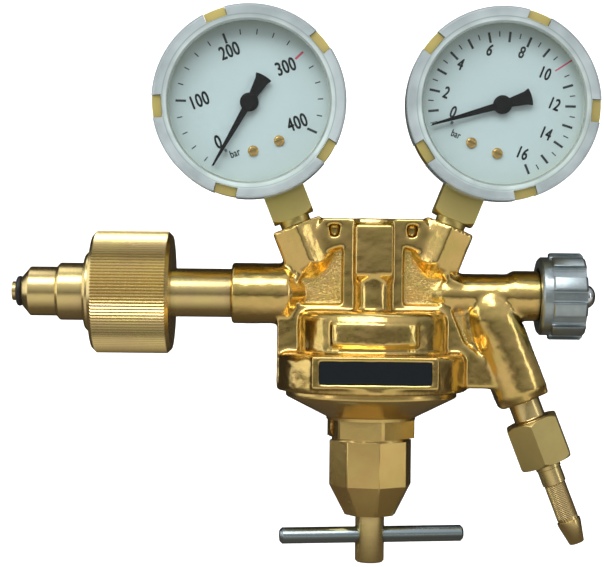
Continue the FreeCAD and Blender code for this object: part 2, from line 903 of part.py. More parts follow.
def hose_union_nut():
    start = neck_len
    end = neck_len + outlet_nut_len
    shape = prism(6, outlet_nut_flats, start, end, outlet_nut_turn)
    shape = shape.common(turned([
        (start, outlet_nut_flats * 1.02),
        (start + 1.2, outlet_nut_flats * 1.16),
        (end - 1.2, outlet_nut_flats * 1.16),
        (end, outlet_nut_flats * 1.02),
    ]))
    bore = turned([
        (start - 1, outlet_thread_d),
        (end - nut_end_wall, outlet_thread_d),
        (end - nut_end_wall, nipple_collar_d),
        (end + 1, nipple_collar_d),
    ])
    return on_outlet(shape.cut(bore))


def hose_nipple():
    seat = neck_len + outlet_nut_len * 0.5
    end = neck_len + outlet_nut_len
    wall = nut_end_wall
    profile = [
        (seat - cone_len, hose_bore_d + 1.0),
        (seat, nipple_collar_d + 1.0),
        (seat, outlet_thread_d - 2 * slip_gap),
        (end - wall, outlet_thread_d - 2 * slip_gap),
        (end - wall, nipple_collar_d),
        (end + nipple_collar_len, nipple_collar_d),
        (end + nipple_collar_len, nipple_d),
        (end + nipple_grip_x, nipple_d),
        (end + nipple_grip_x, nipple_grip_d),
        (end + barb_x, nipple_grip_end_d),
        (end + barb_x, barb_d),
        (end + barb_x + 1.2, barb_d),
        (end + nipple_len, barb_end_d),
    ]
    shape = turned(profile).cut(rod(hose_bore_d, seat - 4, end + nipple_len + 1))
    return on_outlet(shape)


def lug_angles(first):
    """Angles of the lugs round a gauge."""
    return [first + 360.0 * i / lug_count for i in range(lug_count)]


def gauge_case(first_lug):
    """Drawn cup with five lugs that catch in the window's rim."""
    cup = turned([
        (case_front, case_d),
        (case_back - case_bend, case_d),
        (case_back, case_d - 2 * case_bend),
    ])
    cup = cup.cut(turned([
        (case_front - 1, case_d - 2 * case_wall),
        (case_back - case_bend - case_wall / 2.0, case_d - 2 * case_wall),
        (case_back - case_wall, case_d - 2 * case_bend - case_wall),
    ]))
    cup = facing_back(cup)
    half = socket_w / 2.0 + slip_gap
    cup = cup.cut(block(-half, half, -half, half, -case_d / 2.0 - 1, -case_d / 2.0 + 6.0))
    hole = facing_back(rod(plug_d - 3.0, case_back - 3, case_back + 1)).translate(V(0, 0, plug_z))
    cup = cup.cut(hole)
    radius = case_d / 2.0
    for angle in lug_angles(first_lug):
        tab = block(
            radius - case_wall, window_d / 2.0, case_front - lug_rise, case_front + 4.0,
            -lug_w / 2.0, lug_w / 2.0)
        tab = tab.common(facing_back(ring(
            window_d - 0.4, case_d - 2 * case_wall, case_front - lug_rise, case_front + 4.0)))
        cup = cup.fuse(tab.rotate(V(), V(0, 1, 0), -angle))
    return cup


def gauge_window(first_lug):
    """Clear front with a raised rim and a skirt round the case, notched for the lugs."""
    front = window_front
    shape = turned([
        (front, window_d - 1.6),
        (front + 0.8, window_d),
        (front + skirt_len, window_d),
    ])
    inside = front + rim_rise + window_t
    shape = shape.cut(rod(case_d + 2 * slip_gap, inside, front + skirt_len + 1))
    pane_d = window_d - 2 * rim_w
    shape = shape.cut(turned([(front - EPS, pane_d), (front + rim_rise, pane_d - 1)]))
    shape = facing_back(shape)
    inner = case_d / 2.0 - case_wall - slip_gap
    half = lug_w / 2.0 + slip_gap
    for angle in lug_angles(first_lug):
        notch = block(inner, window_d, front - 1, front + skirt_len + 1, -half, half)
        shape = shape.cut(notch.rotate(V(), V(0, 1, 0), -angle))
    return shape


def gauge_dial():
    shape = rod(case_d - 2 * case_wall - 2 * slip_gap, dial_y, dial_y + dial_t)
    shape = facing_back(shape.cut(rod(dial_hole_d, dial_y - 1, dial_y + 1)))
    for side in (-1, 1):
        hole = facing_back(rod(1.6, dial_y - 1, dial_y + 1))
        hole = hole.translate(V(side * dial_screw_x, 0, dial_screw_z))
        shape = shape.cut(hole)
    return shape


def gauge_dial_screws():
    screws = []
    for side in (-1, 1):
        screw = turned([
            (dial_y - 0.9, dial_screw_d - 1.2),
            (dial_y - 0.5, dial_screw_d),
            (dial_y, dial_screw_d),
            (dial_y, 1.6),
            (plate_front_y, 1.6),
        ])
        slot = block(-dial_screw_d, dial_screw_d, -0.25, 0.25, dial_y - 1.2, dial_y - 0.5)
        screws.append(facing_back(screw.cut(slot)).translate(V(side * dial_screw_x, 0, dial_screw_z)))
    return Part.makeCompound(screws)


def gauge_stop_pin(angle):
    pin = facing_back(rod(stop_pin_d, dial_y - 2.6, dial_y))
    place = math.radians(angle)
    return pin.translate(V(stop_pin_r * math.cos(place), 0, stop_pin_r * math.sin(place)))


def toothed(radius, teeth, first, last):
    """Outline points of the teeth from one number to another, round the origin."""
    points = []
    step = 2 * math.pi / teeth
    for i in range(first, last + 1):
        middle = i * step
        flank = ((-0.30, -tooth_deep), (-0.14, tooth_high), (0.14, tooth_high), (0.30, -tooth_deep))
        for share, reach in flank:
            angle = middle + share * step
            points.append(((radius + reach) * math.cos(angle), (radius + reach) * math.sin(angle)))
    return points


def gauge_pointer(rest_angle):
    """Black pointer, turned to its rest, on the arbor with the pinion."""
    back = pointer_y + pointer_t
    half_hub = pointer_hub_d / 2.0
    needle = plate([(-1.25, 0), (1.25, 0), (0.3, pointer_len), (-0.3, pointer_len)], pointer_y, back)
    tail = plate([
        (-1.1, 0), (1.1, 0), (half_hub * 0.72, -pointer_tail + 2.0), (half_hub, -pointer_tail),
        (-half_hub, -pointer_tail), (-half_hub * 0.72, -pointer_tail + 2.0),
    ], pointer_y, back)
    tail = tail.common(facing_back(rod(2 * pointer_tail, pointer_y, back)))
    hub = facing_back(turned([
        (pointer_y - 0.6, 4.2),
        (pointer_y, pointer_hub_d),
        (back + 0.3, pointer_hub_d),
    ]))
    pointer = joined([needle, tail, hub]).rotate(V(), V(0, 1, 0), 90 - rest_angle)
    arbor = facing_back(rod(arbor_d, back, plate_back_y + plate_t))
    teeth = plate(toothed(pinion_r, pinion_teeth, 0, pinion_teeth - 1), gear_y, gear_y + gear_t + 0.8)
    pinion = teeth.rotate(V(), V(0, 1, 0), 90 + 180.0 / pinion_teeth)
    return joined([pointer, arbor, pinion])


def sector_gear():
    """Toothed sector on its own staff, with the tail that the link pulls."""
    teeth = pinion_teeth * gear_ratio
    first = sector_spare - sector_teeth + 1
    arc = toothed(sector_r, teeth, first, sector_spare)
    fan = [(0.4 * x, 0.4 * y) for x, y in (arc[0], arc[-1])]
    outline = [(0, -1.6), fan[0]] + arc + [fan[1], (0, 1.6)]
    arm = plate(outline, gear_y, gear_y + gear_t).rotate(V(), V(0, 1, 0), -90)
    hub = facing_back(rod(4.0, gear_y - 0.4, gear_y + gear_t + 0.6))
    tail = block(-tail_len - 1.2, 0, gear_y, gear_y + gear_t, -1.2, 1.2)
    staff = facing_back(rod(arbor_d, plate_front_y, plate_back_y + plate_t))
    shape = joined([arm, hub, tail, staff])
    hole = facing_back(rod(link_pin_d + 2 * running_gap, gear_y - 1, gear_y + gear_t + 1))
    shape = shape.cut(hole.translate(V(-tail_len, 0, 0)))
    return shape.translate(V(0, 0, sector_z))


def tip_middle():
    """Middle of the tip piece."""
    angle = math.radians(tube_end)
    half = tip_len / 2.0
    x = tube_r * math.cos(angle) - half * math.sin(angle)
    z = tube_r * math.sin(angle) + half * math.cos(angle)
    return x, z


def link():
    """Short bar from the sector's tail towards the tube's tip, with its pin."""
    tip_x, tip_z = tip_middle()
    run_x = tip_x + tail_len
    run_z = tip_z - sector_z
    reach = math.hypot(run_x, run_z) - math.hypot(tube_t, tip_len) / 2.0 - link_w / 2.0 - loose_gap
    y0 = gear_y + gear_t + slip_gap
    half = link_w / 2.0
    bar = block(0, reach, y0, y0 + link_t, -half, half)
    ends = [facing_back(rod(link_w, y0, y0 + link_t)).translate(V(x, 0, 0)) for x in (0, reach)]
    pin = facing_back(rod(link_pin_d, gear_y - 0.3, y0))
    shape = joined([bar, pin] + ends)
    shape.rotate(V(), V(0, 1, 0), -math.degrees(math.atan2(run_z, run_x)))
    return shape.translate(V(-tail_len, 0, sector_z))


def movement_frame():
    """Two plates with pillars that carry the pointer arbor and the sector staff."""
    half = plate_w / 2.0
    plates = []
    for y in (plate_front_y, plate_back_y):
        plates.append(block(-half, half, y, y + plate_t, plate_foot, plate_top))
    for x in (-half + 1.5, half - 1.5):
        for z in (plate_foot + 1.5, plate_top - 1.5):
            post = facing_back(rod(2.4, plate_front_y, plate_back_y + plate_t))
            plates.append(post.translate(V(x, 0, z)))
    frame = joined(plates)
    hole_d = arbor_d + 2 * running_gap
    for z in (0.0, sector_z):
        hole = facing_back(rod(hole_d, plate_front_y - 1, plate_back_y + plate_t + 1))
        frame = frame.cut(hole.translate(V(0, 0, z)))
    room_d = case_d - 2 * case_wall - 2 * loose_gap
    return frame.common(facing_back(rod(room_d, plate_front_y - 1, plate_back_y + plate_t + 1)))


def gauge_socket():
    """Square socket with its threaded spigot below and the block that holds the tube."""
    half = socket_w / 2.0
    shoulder = -boss_top_to_gauge + socket_neck_len
    body = block(-half, half, -half, half, shoulder, -case_d / 2.0 + 4.0)
    body = body.common(turned([
        (shoulder, socket_w * 1.12),
        (shoulder + 1.5, socket_w * 1.42),
        (0, socket_w * 1.42),
    ]))
    spigot = turned([
        (-boss_top_to_gauge - socket_thread_len - socket_neck_len, socket_thread_d - 1.0),
        (-boss_top_to_gauge - socket_thread_len - socket_neck_len + 0.5, socket_thread_d),
        (-boss_top_to_gauge - socket_neck_len, socket_thread_d),
        (-boss_top_to_gauge, socket_neck_d),
        (shoulder, socket_neck_d),
    ])
    foot = -boss_top_to_gauge - socket_thread_len - socket_neck_len
    return joined([body, tube_stalk(), spigot]).cut(rod(2.5, foot - 1, -tube_r + 1.0))


def gauge_seal_washer():
    top = -boss_top_to_gauge - socket_thread_len - socket_neck_len
    return ring(socket_thread_d - 0.6, gas_bore_d + 1.0, top - seal_t, top)


def tube_stalk():
    """Part of the socket inside the case, that the tube is soldered into."""
    return block(-block_w / 2.0, block_w / 2.0, block_front, block_back, -case_d / 2.0, block_top)


def bourdon_tube():
    """Flat tube bent to an open ring about the pointer's axis, ending square against the socket."""
    corners = [
        V(tube_r + side * tube_t / 2.0, y, 0)
        for side, y in ((-1, tube_y), (1, tube_y), (1, tube_y + tube_w), (-1, tube_y + tube_w))
    ]
    face = Part.Face(Part.makePolygon(corners + corners[:1]))
    tube = face.revolve(V(), V(0, 1, 0), tube_start - tube_end)
    return tube.rotate(V(), V(0, 1, 0), -tube_start).cut(tube_stalk())


def tube_tip():
    """End piece that closes the tube and reaches forward to the link."""
    half = tube_t / 2.0
    tip = block(tube_r - half, tube_r + half, gear_y, tube_y + tube_w, 0, tip_len)
    return tip.rotate(V(), V(0, 1, 0), -tube_end)


def blowout_plug():
    shape = turned([
        (case_back - 2.0, plug_d - 3.0 - 2 * EPS),
        (case_back, plug_d - 3.0 - 2 * EPS),
        (case_back, plug_d),
        (case_back + 1.2, plug_d - 0.8),
    ])
    return facing_back(shape).translate(V(0, 0, plug_z))


def gauge_parts(prefix, side, first_lug, rest_angle):
    """All pieces of one gauge; the angles are read from +X, anticlockwise, in the world."""
    lean = side * gauge_tilt
    shapes = {
        "case": gauge_case(first_lug + lean),
        "window": gauge_window(first_lug + lean),
        "dial": gauge_dial(),
        "dial_screws": gauge_dial_screws(),
        "stop_pin": gauge_stop_pin(rest_angle + stop_turn + lean),
        "pointer": gauge_pointer(rest_angle + lean),
        "sector_gear": sector_gear(),
        "movement_frame": movement_frame(),
        "socket": gauge_socket(),
        "seal_washer": gauge_seal_washer(),
        "bourdon_tube": bourdon_tube(),
        "tube_tip": tube_tip(),
        "link": link(),
        "blowout_plug": blowout_plug(),
    }
    return {prefix + "_" + name: on_gauge(shape, side) for name, shape in shapes.items()}


def all_parts():
    makers = [
        regulator_body, label_plate, inlet_stem, inlet_o_ring, inlet_filter, stem_seal_washer,
        coupling_nut, coupling_slip_ring, bonnet, adjusting_screw, tee_bar, lower_spring_plate,
        upper_spring_plate, range_spring, diaphragm, diaphragm_slip_washer, diaphragm_disc,
        valve_nozzle, valve_poppet, poppet_pad, valve_pin, poppet_spring, shutoff_gland,
        shutoff_packing, shutoff_disc, shutoff_seat_pad, shutoff_spindle, shutoff_handwheel,
        handwheel_cap, outlet_adapter, hose_union_nut, hose_nipple,
    ]
    parts = {maker.__name__: maker() for maker in makers}
    parts.update(gauge_parts("high_gauge", -1, high_lug_turn, high_rest))
    parts.update(gauge_parts("low_gauge", 1, low_lug_turn, low_rest))
    return parts


os.makedirs("parts", exist_ok=True)
for node, shape in all_parts().items():
    shape.exportStep("parts/" + node + ".step")
    print(node, len(shape.Solids), shape.isValid(), round(shape.Volume, 2))
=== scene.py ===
import math

import bmesh
import bpy
import numpy as np
from bpy.props import FloatProperty, FloatVectorProperty, IntProperty, PointerProperty
from bpy.types import Operator, Panel, PropertyGroup
from mathutils import Matrix, Vector, noise


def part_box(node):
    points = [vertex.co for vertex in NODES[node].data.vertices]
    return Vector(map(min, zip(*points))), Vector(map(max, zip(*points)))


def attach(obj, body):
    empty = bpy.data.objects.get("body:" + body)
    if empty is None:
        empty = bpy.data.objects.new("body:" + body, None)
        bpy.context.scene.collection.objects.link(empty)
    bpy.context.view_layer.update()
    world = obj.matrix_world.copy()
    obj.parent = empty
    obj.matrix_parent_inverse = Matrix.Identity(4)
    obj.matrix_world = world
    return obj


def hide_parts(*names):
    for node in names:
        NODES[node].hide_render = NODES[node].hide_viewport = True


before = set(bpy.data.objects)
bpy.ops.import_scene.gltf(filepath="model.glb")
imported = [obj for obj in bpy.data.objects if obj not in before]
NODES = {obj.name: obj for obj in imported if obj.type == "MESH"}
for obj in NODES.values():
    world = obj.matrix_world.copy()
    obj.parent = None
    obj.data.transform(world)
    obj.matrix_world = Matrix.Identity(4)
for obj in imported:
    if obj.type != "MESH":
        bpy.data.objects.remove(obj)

bl_info = {
    "name": "Gas pressure regulator",
    "version": (1, 0, 0),
    "blender": (4, 5, 0),
    "location": "3D View > Sidebar > Regulator",
    "description": "Surface, dial print and stage of a gas pressure regulator",
    "category": "Object",
}

MM = 0.001

# Places, distances and angles of the part and the camera; a number that isn't scaled by MM is in mm
BODY_AXIS = Vector((106.0, 0.0, 0.0)) * MM
INLET_AXIS = Vector((0.0, 0.0, 0.0))
OUTLET_TILT = math.radians(21.3)
OUTLET_END = Vector((157.49, 0.0, -35.36)) * MM
OUTLET_WAY = Vector((math.sin(OUTLET_TILT), 0.0, -math.cos(OUTLET_TILT)))
ALONG_X = Vector((1.0, 0.0, 0.0))
ALONG_Z = Vector((0.0, 0.0, 1.0))
GAUGE_SPREAD = 41.66
GAUGE_HEIGHT = 62.95
GAUGE_LEAN = math.radians(21.8)
DIAL_Y = -11.6
PANE_FRONT = -18.2
PANE_BACK = -15.0
PANEL_DEPTH = 4.55
RIDGE_BACK = 5.3
FLOOR_Z = -94.1
CAMERA_PLACE = (82.32 * MM, -526.0 * MM, 3.44 * MM)
CAMERA_LENS = 92.8

# Surface: edges sharper than this are bevelled, corners closer than this are welded, and the colour of the
# painted shade in narrow corners
SHARP_EDGE = math.radians(30.0)
WELDED = 0.002
PAINTED_CORNER_SHADE = (0.05, 0.02, 0.005, 1.0)
TURNING_PITCH = 0.18

# Font: share of its size that a digit is high, how much it is narrowed, and the shift that makes it bold
DIGIT_SHARE = 0.70
NARROWED = 0.68
BOLD = 0.024

# Widths of the printed lines, and the length of the marks at zero, in mm
LONG_WIDTH = 0.8
SHORT_WIDTH = 0.38
ZERO_WIDTH = 0.22
ZERO_LENGTH = 2.4

# Words on the dials: text, distance to the right of and above the middle, and height, in mm
HIGH_WORDS = [
    ("0", -10.1, -13.3, 4.4), ("100", -16.6, 0.3, 4.4), ("200", -6.7, 16.8, 4.4),
    ("300", 11.9, 11.8, 4.4), ("400", 15.9, -6.6, 4.4), ("bar", -4.6, -16.8, 2.5),
]
LOW_WORDS = [
    ("0", -16.1, -2.6, 3.9), ("2", -18.4, 3.8, 3.9), ("4", -13.8, 13.2, 3.9), ("6", -4.2, 18.0, 3.9),
    ("8", 6.4, 17.3, 3.9), ("10", 14.0, 10.5, 3.9), ("12", 17.2, 0.4, 3.9), ("14", 14.5, -9.3, 3.9),
    ("16", 6.8, -15.9, 3.9), ("bar", -15.1, -9.8, 2.3),
]

# Scales of the dials, in degrees and mm; a red mark reaches the outer radius or red_reach, whichever is more
HIGH_DIAL = {
    "name": "high_gauge", "side": -1, "first": 246.5, "step": 13.5, "count": 20, "long_every": 5, "bare": 0,
    "red_at": 15, "red_reach": 0.0, "red_width": 0.75, "zero_marks": (240.0,), "words": HIGH_WORDS,
}
LOW_DIAL = {
    "name": "low_gauge", "side": 1, "first": 202.0, "step": 8.4375, "count": 32, "long_every": 2, "bare": 1,
    "red_at": 20, "red_reach": 28.2, "red_width": 0.5, "zero_marks": (194.6, 196.6), "words": LOW_WORDS,
}


def gauge_centre(side):
    """Middle of a gauge, on the inlet plane; side is -1 for the left gauge and 1 for the right one."""
    return BODY_AXIS + Vector((side * GAUGE_SPREAD, 0.0, GAUGE_HEIGHT)) * MM


# Shader nodes

def put(tree, kind, inputs=None, **settings):
    """Add a shader node, set it up, and link or fill its inputs."""
    made = tree.nodes.new("ShaderNode" + kind)
    for key, value in settings.items():
        setattr(made, key, value)
    for key, value in (inputs or {}).items():
        if isinstance(value, bpy.types.NodeSocket):
            tree.links.new(value, made.inputs[key])
        else:
            made.inputs[key].default_value = value
    return made


def ramp(tree, factor, stops):
    """Colour ramp through (position, colour) stops."""
    made = put(tree, "ValToRGB", {"Fac": factor})
    elements = made.color_ramp.elements
    while len(elements) < len(stops):
        elements.new(0.5)
    for element, (position, colour) in zip(elements, stops):
        element.position = position
        element.color = tuple(colour) + (1.0,)
    return made.outputs["Color"]


def math_node(tree, operation, first, second=0.0):
    """Add a Math node; returns its output."""
    return put(tree, "Math", {0: first, 1: second}, operation=operation).outputs[0]


def show_by_ray(tree, ray, usual, other):
    """Show one shader to a kind of ray, and the usual one to all others."""
    asked = put(tree, "LightPath").outputs[ray]
    mix = put(tree, "MixShader", {0: asked, 1: usual.outputs[0], 2: other.outputs[0]})
    tree.links.new(mix.outputs[0], tree.nodes["Material Output"].inputs["Surface"])


def new_group(name, inputs, outputs):
    """Empty node group with the given sockets; returns the group, its inputs and its output node."""
    tree = bpy.data.node_groups.new(name, "ShaderNodeTree")
    for label, kind, default in inputs:
        socket = tree.interface.new_socket(label, in_out="INPUT", socket_type="NodeSocket" + kind)
        if default is not None:
            socket.default_value = default
    for label, kind in outputs:
        tree.interface.new_socket(label, in_out="OUTPUT", socket_type="NodeSocket" + kind)
    start = tree.nodes.new("NodeGroupInput")
    end = tree.nodes.new("NodeGroupOutput")
    return tree, start.outputs, end


def grain_group():
    """Sandy grain of a forging or casting: fine pits over a slow wave."""
    found = bpy.data.node_groups.get("grain")
    if found:
        return found
    tree, given, end = new_group(
        "grain", [("Size", "Float", 0.8), ("Wave", "Float", 0.5)], [("Height", "Float")])
    place = put(tree, "TexCoord").outputs["Object"]
    scale = math_node(tree, "DIVIDE", 1000.0, given["Size"])
    fine = put(tree, "TexNoise", {"Vector": place, "Scale": scale, "Detail": 3.0, "Roughness": 0.6})
    broad = math_node(tree, "MULTIPLY", scale, 0.2)
    slow = put(tree, "TexNoise", {"Vector": place, "Scale": broad, "Detail": 2.0})
    waved = math_node(tree, "MULTIPLY", slow.outputs["Fac"], given["Wave"])
    height = math_node(tree, "ADD", fine.outputs["Fac"], waved)
    tree.links.new(height, end.inputs["Height"])
    return tree


def tone_group():
    """Colour and gloss that drift over the surface, with painted shade that darkens the colour in narrow
    corners.
    """
    found = bpy.data.node_groups.get("tone")
    if found:
        return found
    tree, given, end = new_group(
        "tone",
        [("Color", "Color", None), ("Drift Color", "Color", None), ("Drift", "Float", 0.5),
         ("Patch Size", "Float", 6.0), ("Roughness", "Float", 0.3), ("Spread", "Float", 0.1),
         ("Corner Shade", "Float", 0.5)],
        [("Color", "Color"), ("Roughness", "Float")])
    place = put(tree, "TexCoord").outputs["Object"]
    scale = math_node(tree, "DIVIDE", 1000.0, given["Patch Size"])
    patch = put(tree, "TexNoise", {"Vector": place, "Scale": scale, "Detail": 3.0, "Roughness": 0.55})
    sharp = put(tree, "MapRange", {0: patch.outputs["Fac"], 1: 0.35, 2: 0.65}).outputs[0]
    share = math_node(tree, "MULTIPLY", sharp, given["Drift"])
    mixed = put(tree, "Mix", {0: share, 6: given["Color"], 7: given["Drift Color"]}, data_type="RGBA")
    narrow = math_node(tree, "MULTIPLY", scale, 6.0)
    speck = put(tree, "TexNoise", {"Vector": place, "Scale": narrow, "Detail": 2.0})
    centred = math_node(tree, "SUBTRACT", speck.outputs["Fac"], 0.5)
    uneven = math_node(tree, "MULTIPLY", centred, given["Spread"])
    rough = math_node(tree, "ADD", given["Roughness"], uneven)
    # Painted shade: where ambient occlusion finds the surface closed in, the colour is mixed towards the dark
    # corner colour
    open_sky = put(tree, "AmbientOcclusion", {"Distance": 2.5 * MM}, samples=4).outputs["AO"]
    closed = math_node(tree, "SUBTRACT", 1.0, open_sky)
    shade = math_node(tree, "MULTIPLY", closed, given["Corner Shade"])
    dark = put(tree, "Mix", {0: shade, 6: mixed.outputs[2], 7: PAINTED_CORNER_SHADE}, data_type="RGBA")
    tree.links.new(dark.outputs[2], end.inputs["Color"])
    tree.links.new(rough, end.inputs["Roughness"])
    return tree


def turning_group():
    """Fine marks left by a lathe, round an axis."""
    found = bpy.data.node_groups.get("turning")
    if found:
        return found
    tree, given, end = new_group(
        "turning",
        [("Origin", "Vector", None), ("Axis", "Vector", None), ("Pitch", "Float", 0.15)],
        [("Height", "Float")])
    place = put(tree, "TexCoord").outputs["Object"]
    arm = put(tree, "VectorMath", {0: place, 1: given["Origin"]}, operation="SUBTRACT").outputs[0]
    along = put(tree, "VectorMath", {0: arm, 1: given["Axis"]}, operation="DOT_PRODUCT").outputs["Value"]
    carried = put(tree, "VectorMath", {0: given["Axis"], "Scale": along}, operation="SCALE").outputs[0]
    radial = put(tree, "VectorMath", {0: arm, 1: carried}, operation="SUBTRACT").outputs[0]
    radius = put(tree, "VectorMath", {0: radial}, operation="LENGTH").outputs["Value"]
    spot = put(tree, "CombineXYZ", {"X": along, "Y": radius}).outputs[0]
    scale = math_node(tree, "DIVIDE", 1000.0, given["Pitch"])
    marks = put(tree, "TexNoise", {"Vector": spot, "Scale": scale, "Detail": 1.0}, noise_dimensions="2D")
    tree.links.new(marks.outputs["Fac"], end.inputs["Height"])
    return tree


def use_group(tree, group, inputs):
    """Place a node group in a material; returns its outputs."""
    made = tree.nodes.new("ShaderNodeGroup")
    made.node_tree = group
    for key, value in inputs.items():
        if isinstance(value, Vector):
            value = tuple(value)
        if key.endswith("Color"):
            value = tuple(value)[:3] + (1.0,)
        made.inputs[key].default_value = value
    return made.outputs


def new_material(name, values):
    """Material with one Principled shader whose uniform values are set on its own sockets."""
    material = bpy.data.materials.new(name)
    material.use_nodes = True
    shader = material.node_tree.nodes["Principled BSDF"]
    for key, value in values.items():
        shader.inputs[key].default_value = value
    return material, material.node_tree, shader


def metal(name, color, drift_color, drift=0.5, patch=6.0, roughness=0.3, spread=0.12, grain=None, bump=0.1,
          turning=None, corner_shade=0.5):
    """Metal with a drifting tone and painted shade in narrow corners, and grain or lathe marks round an axis.
    """
    found = bpy.data.materials.get(name)
    if found:
        return found
    material, tree, shader = new_material(name, {"Metallic": 1.0})
    tone = use_group(tree, tone_group(), {
        "Color": color, "Drift Color": drift_color, "Drift": drift, "Patch Size": patch,
        "Roughness": roughness, "Spread": spread, "Corner Shade": corner_shade})
    tree.links.new(tone["Color"], shader.inputs["Base Color"])
    tree.links.new(tone["Roughness"], shader.inputs["Roughness"])
    if turning:
        height = use_group(tree, turning_group(), turning)["Height"]
    elif grain:
        height = use_group(tree, grain_group(), {"Size": grain, "Wave": 0.6})["Height"]
    else:
        return material
    relief = put(tree, "Bump", {"Height": height, "Strength": 1.0, "Distance": bump * MM})
    tree.links.new(relief.outputs["Normal"], shader.inputs["Normal"])
    return material


# Settings

COLOR = {"subtype": "COLOR", "size": 3, "min": 0.0, "max": 1.0}
LENGTH = {"unit": "LENGTH", "precision": 5, "min": 0.0}


class REG_StageSettings(PropertyGroup):
    """Floor, backdrop and light."""
    floor_color: FloatVectorProperty(
        name="Floor", description="Colour of the floor and backdrop", default=(0.90, 0.90, 0.90), **COLOR)
    light_power: FloatProperty(
        name="Light", description="Factor on the power of every lamp", default=1.0, min=0.0)
    roll: FloatProperty(
        name="Camera roll", description="Roll of the camera about its viewing line",
        default=math.radians(-0.6), subtype="ANGLE", unit="ROTATION")


class REG_MetalSettings(PropertyGroup):
    """Colours of the metals."""
    forged: FloatVectorProperty(
        name="Forged brass", description="Colour of the forged body", default=(0.86, 0.60, 0.22), **COLOR)
    forged_drift: FloatVectorProperty(
        name="Forged brass, tarnished", description="Colour that the forged body drifts to",
        default=(0.70, 0.54, 0.17), **COLOR)
    turned: FloatVectorProperty(
        name="Turned brass", description="Colour of turned brass", default=(0.86, 0.66, 0.31), **COLOR)
    gauge: FloatVectorProperty(
        name="Gauge brass", description="Colour of the gauges' sockets and cases",
        default=(0.96, 0.82, 0.28), **COLOR)
    steel: FloatVectorProperty(
        name="Steel", description="Colour of bright steel", default=(0.40, 0.49, 0.52), **COLOR)
    wheel: FloatVectorProperty(
        name="Handwheel", description="Colour of the cast handwheel", default=(0.42, 0.50, 0.53), **COLOR)


class REG_ForgingSettings(PropertyGroup):
    """Surface of the forged body."""
    cell: FloatProperty(
        name="Cell", description="Size of the cells that the forging is rebuilt from", default=0.6 * MM,
        min=0.3 * MM, unit="LENGTH", precision=5)
    unevenness: FloatProperty(
        name="Unevenness", description="Height of the slow waves in the forged skin", default=0.08 * MM,
        **LENGTH)


class REG_DialSettings(PropertyGroup):
    """Print on the dials."""
    outer_radius: FloatProperty(
        name="Scale radius", description="Radius at the outer end of the scale's lines", default=24.4 * MM,
        **LENGTH)
    long_line: FloatProperty(
        name="Long line", description="Length of a long line", default=3.5 * MM, **LENGTH)
    short_line: FloatProperty(
        name="Short line", description="Length of a short line", default=1.8 * MM, **LENGTH)
    ink_height: FloatProperty(
        name="Ink height", description="Thickness of the print", default=0.02 * MM, **LENGTH)
    dial_color: FloatVectorProperty(
        name="Dial", description="Colour of the dial", default=(0.64, 0.73, 0.73), **COLOR)


class REG_NippleSettings(PropertyGroup):
    """Grip of the hose nipple."""
    ridges: IntProperty(
        name="Ridges", description="Number of slanted ridges round the grip", default=24, min=1)
    ridge_height: FloatProperty(
        name="Ridge height", description="Height of a ridge over its root", default=0.22 * MM, **LENGTH)
    ridge_lead: FloatProperty(
        name="Ridge lead", description="Distance along the nipple in which a ridge moves on by its own pitch",
        default=0.9 * MM, min=0.1 * MM, unit="LENGTH", precision=5)


# Helpers for pieces

def to_mesh(made, name):
    """Mesh from a bmesh, which is freed."""
    mesh = bpy.data.meshes.new(name)
    made.to_mesh(mesh)
    made.free()
    return mesh


def dress(material, *names, bevel=0.0):
    """Give carried-over pieces a material and, where asked, a small bevel on their sharp edges."""
    for name in names:
        piece = NODES[name]
        piece.data.materials.clear()
        piece.data.materials.append(material)
        if bevel:
            weld = piece.modifiers.new("weld", "WELD")
            weld.merge_threshold = WELDED * MM
            edge = piece.modifiers.new("edge", "BEVEL")
            edge.width = bevel * MM
            edge.segments = 2
            edge.limit_method = "ANGLE"
            edge.angle_limit = SHARP_EDGE


def add_piece(name, mesh, material, body, slot, *stands_for):
    """Link a new piece, dress it and let it ride on a body."""
    piece = bpy.data.objects.new(name, mesh)
    bpy.context.scene.collection.objects.link(piece)
    mesh.materials.clear()
    mesh.materials.append(material)
    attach(piece, body)
    if stands_for:
        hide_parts(*stands_for)


def evaluated_copy(source, modifiers, *additions):
    """Mesh of a piece with added meshes, after (kind, settings) modifiers; the piece stays as it is."""
    made = bmesh.new()
    for mesh in (source.data,) + additions:
        made.from_mesh(mesh)
    holder = bpy.data.objects.new("holder", to_mesh(made, "joined"))
    bpy.context.scene.collection.objects.link(holder)
    for kind, settings in modifiers:
        modifier = holder.modifiers.new(kind, kind)
        for key, value in settings.items():
            setattr(modifier, key, value)
    graph = bpy.context.evaluated_depsgraph_get()
    mesh = bpy.data.meshes.new_from_object(holder.evaluated_get(graph))
    bpy.data.objects.remove(holder)
    return mesh


def lathe(stations, origin, way, segments):
    """Closed mesh turned round an axis through (distance, radius) stations, in mm."""
    turn = ALONG_Z.rotation_difference(way).to_matrix()
    made = bmesh.new()
    rings = []
    for distance, radius in stations:
        loop = []
        for i in range(segments):
            angle = 2.0 * math.pi * i / segments
            spot = Vector((radius * math.cos(angle), radius * math.sin(angle), distance)) * MM
            loop.append(made.verts.new(origin + turn @ spot))
        rings.append(loop)
    for low, high in zip(rings, rings[1:] + rings[:1]):
        for i in range(segments):
            j = (i + 1) % segments
            made.faces.new((low[i], low[j], high[j], high[i]))
    bmesh.ops.recalc_face_normals(made, faces=made.faces)
    mesh = to_mesh(made, "turned")
    mesh.set_sharp_from_angle(angle=math.radians(35.0))
    return mesh


def ink_bar(made, middle, angle, r0, r1, width, lift):
    """Straight printed line on a dial between two radii."""
    way = Vector((math.cos(angle), 0.0, math.sin(angle)))
    side = Vector((-way.z, 0.0, way.x)) * (width / 2.0)
    inner = middle - Vector((0.0, lift, 0.0)) + way * r0
    outer = middle - Vector((0.0, lift, 0.0)) + way * r1
    corners = [inner - side, outer - side, outer + side, inner + side]
    made.faces.new([made.verts.new(corner) for corner in corners])


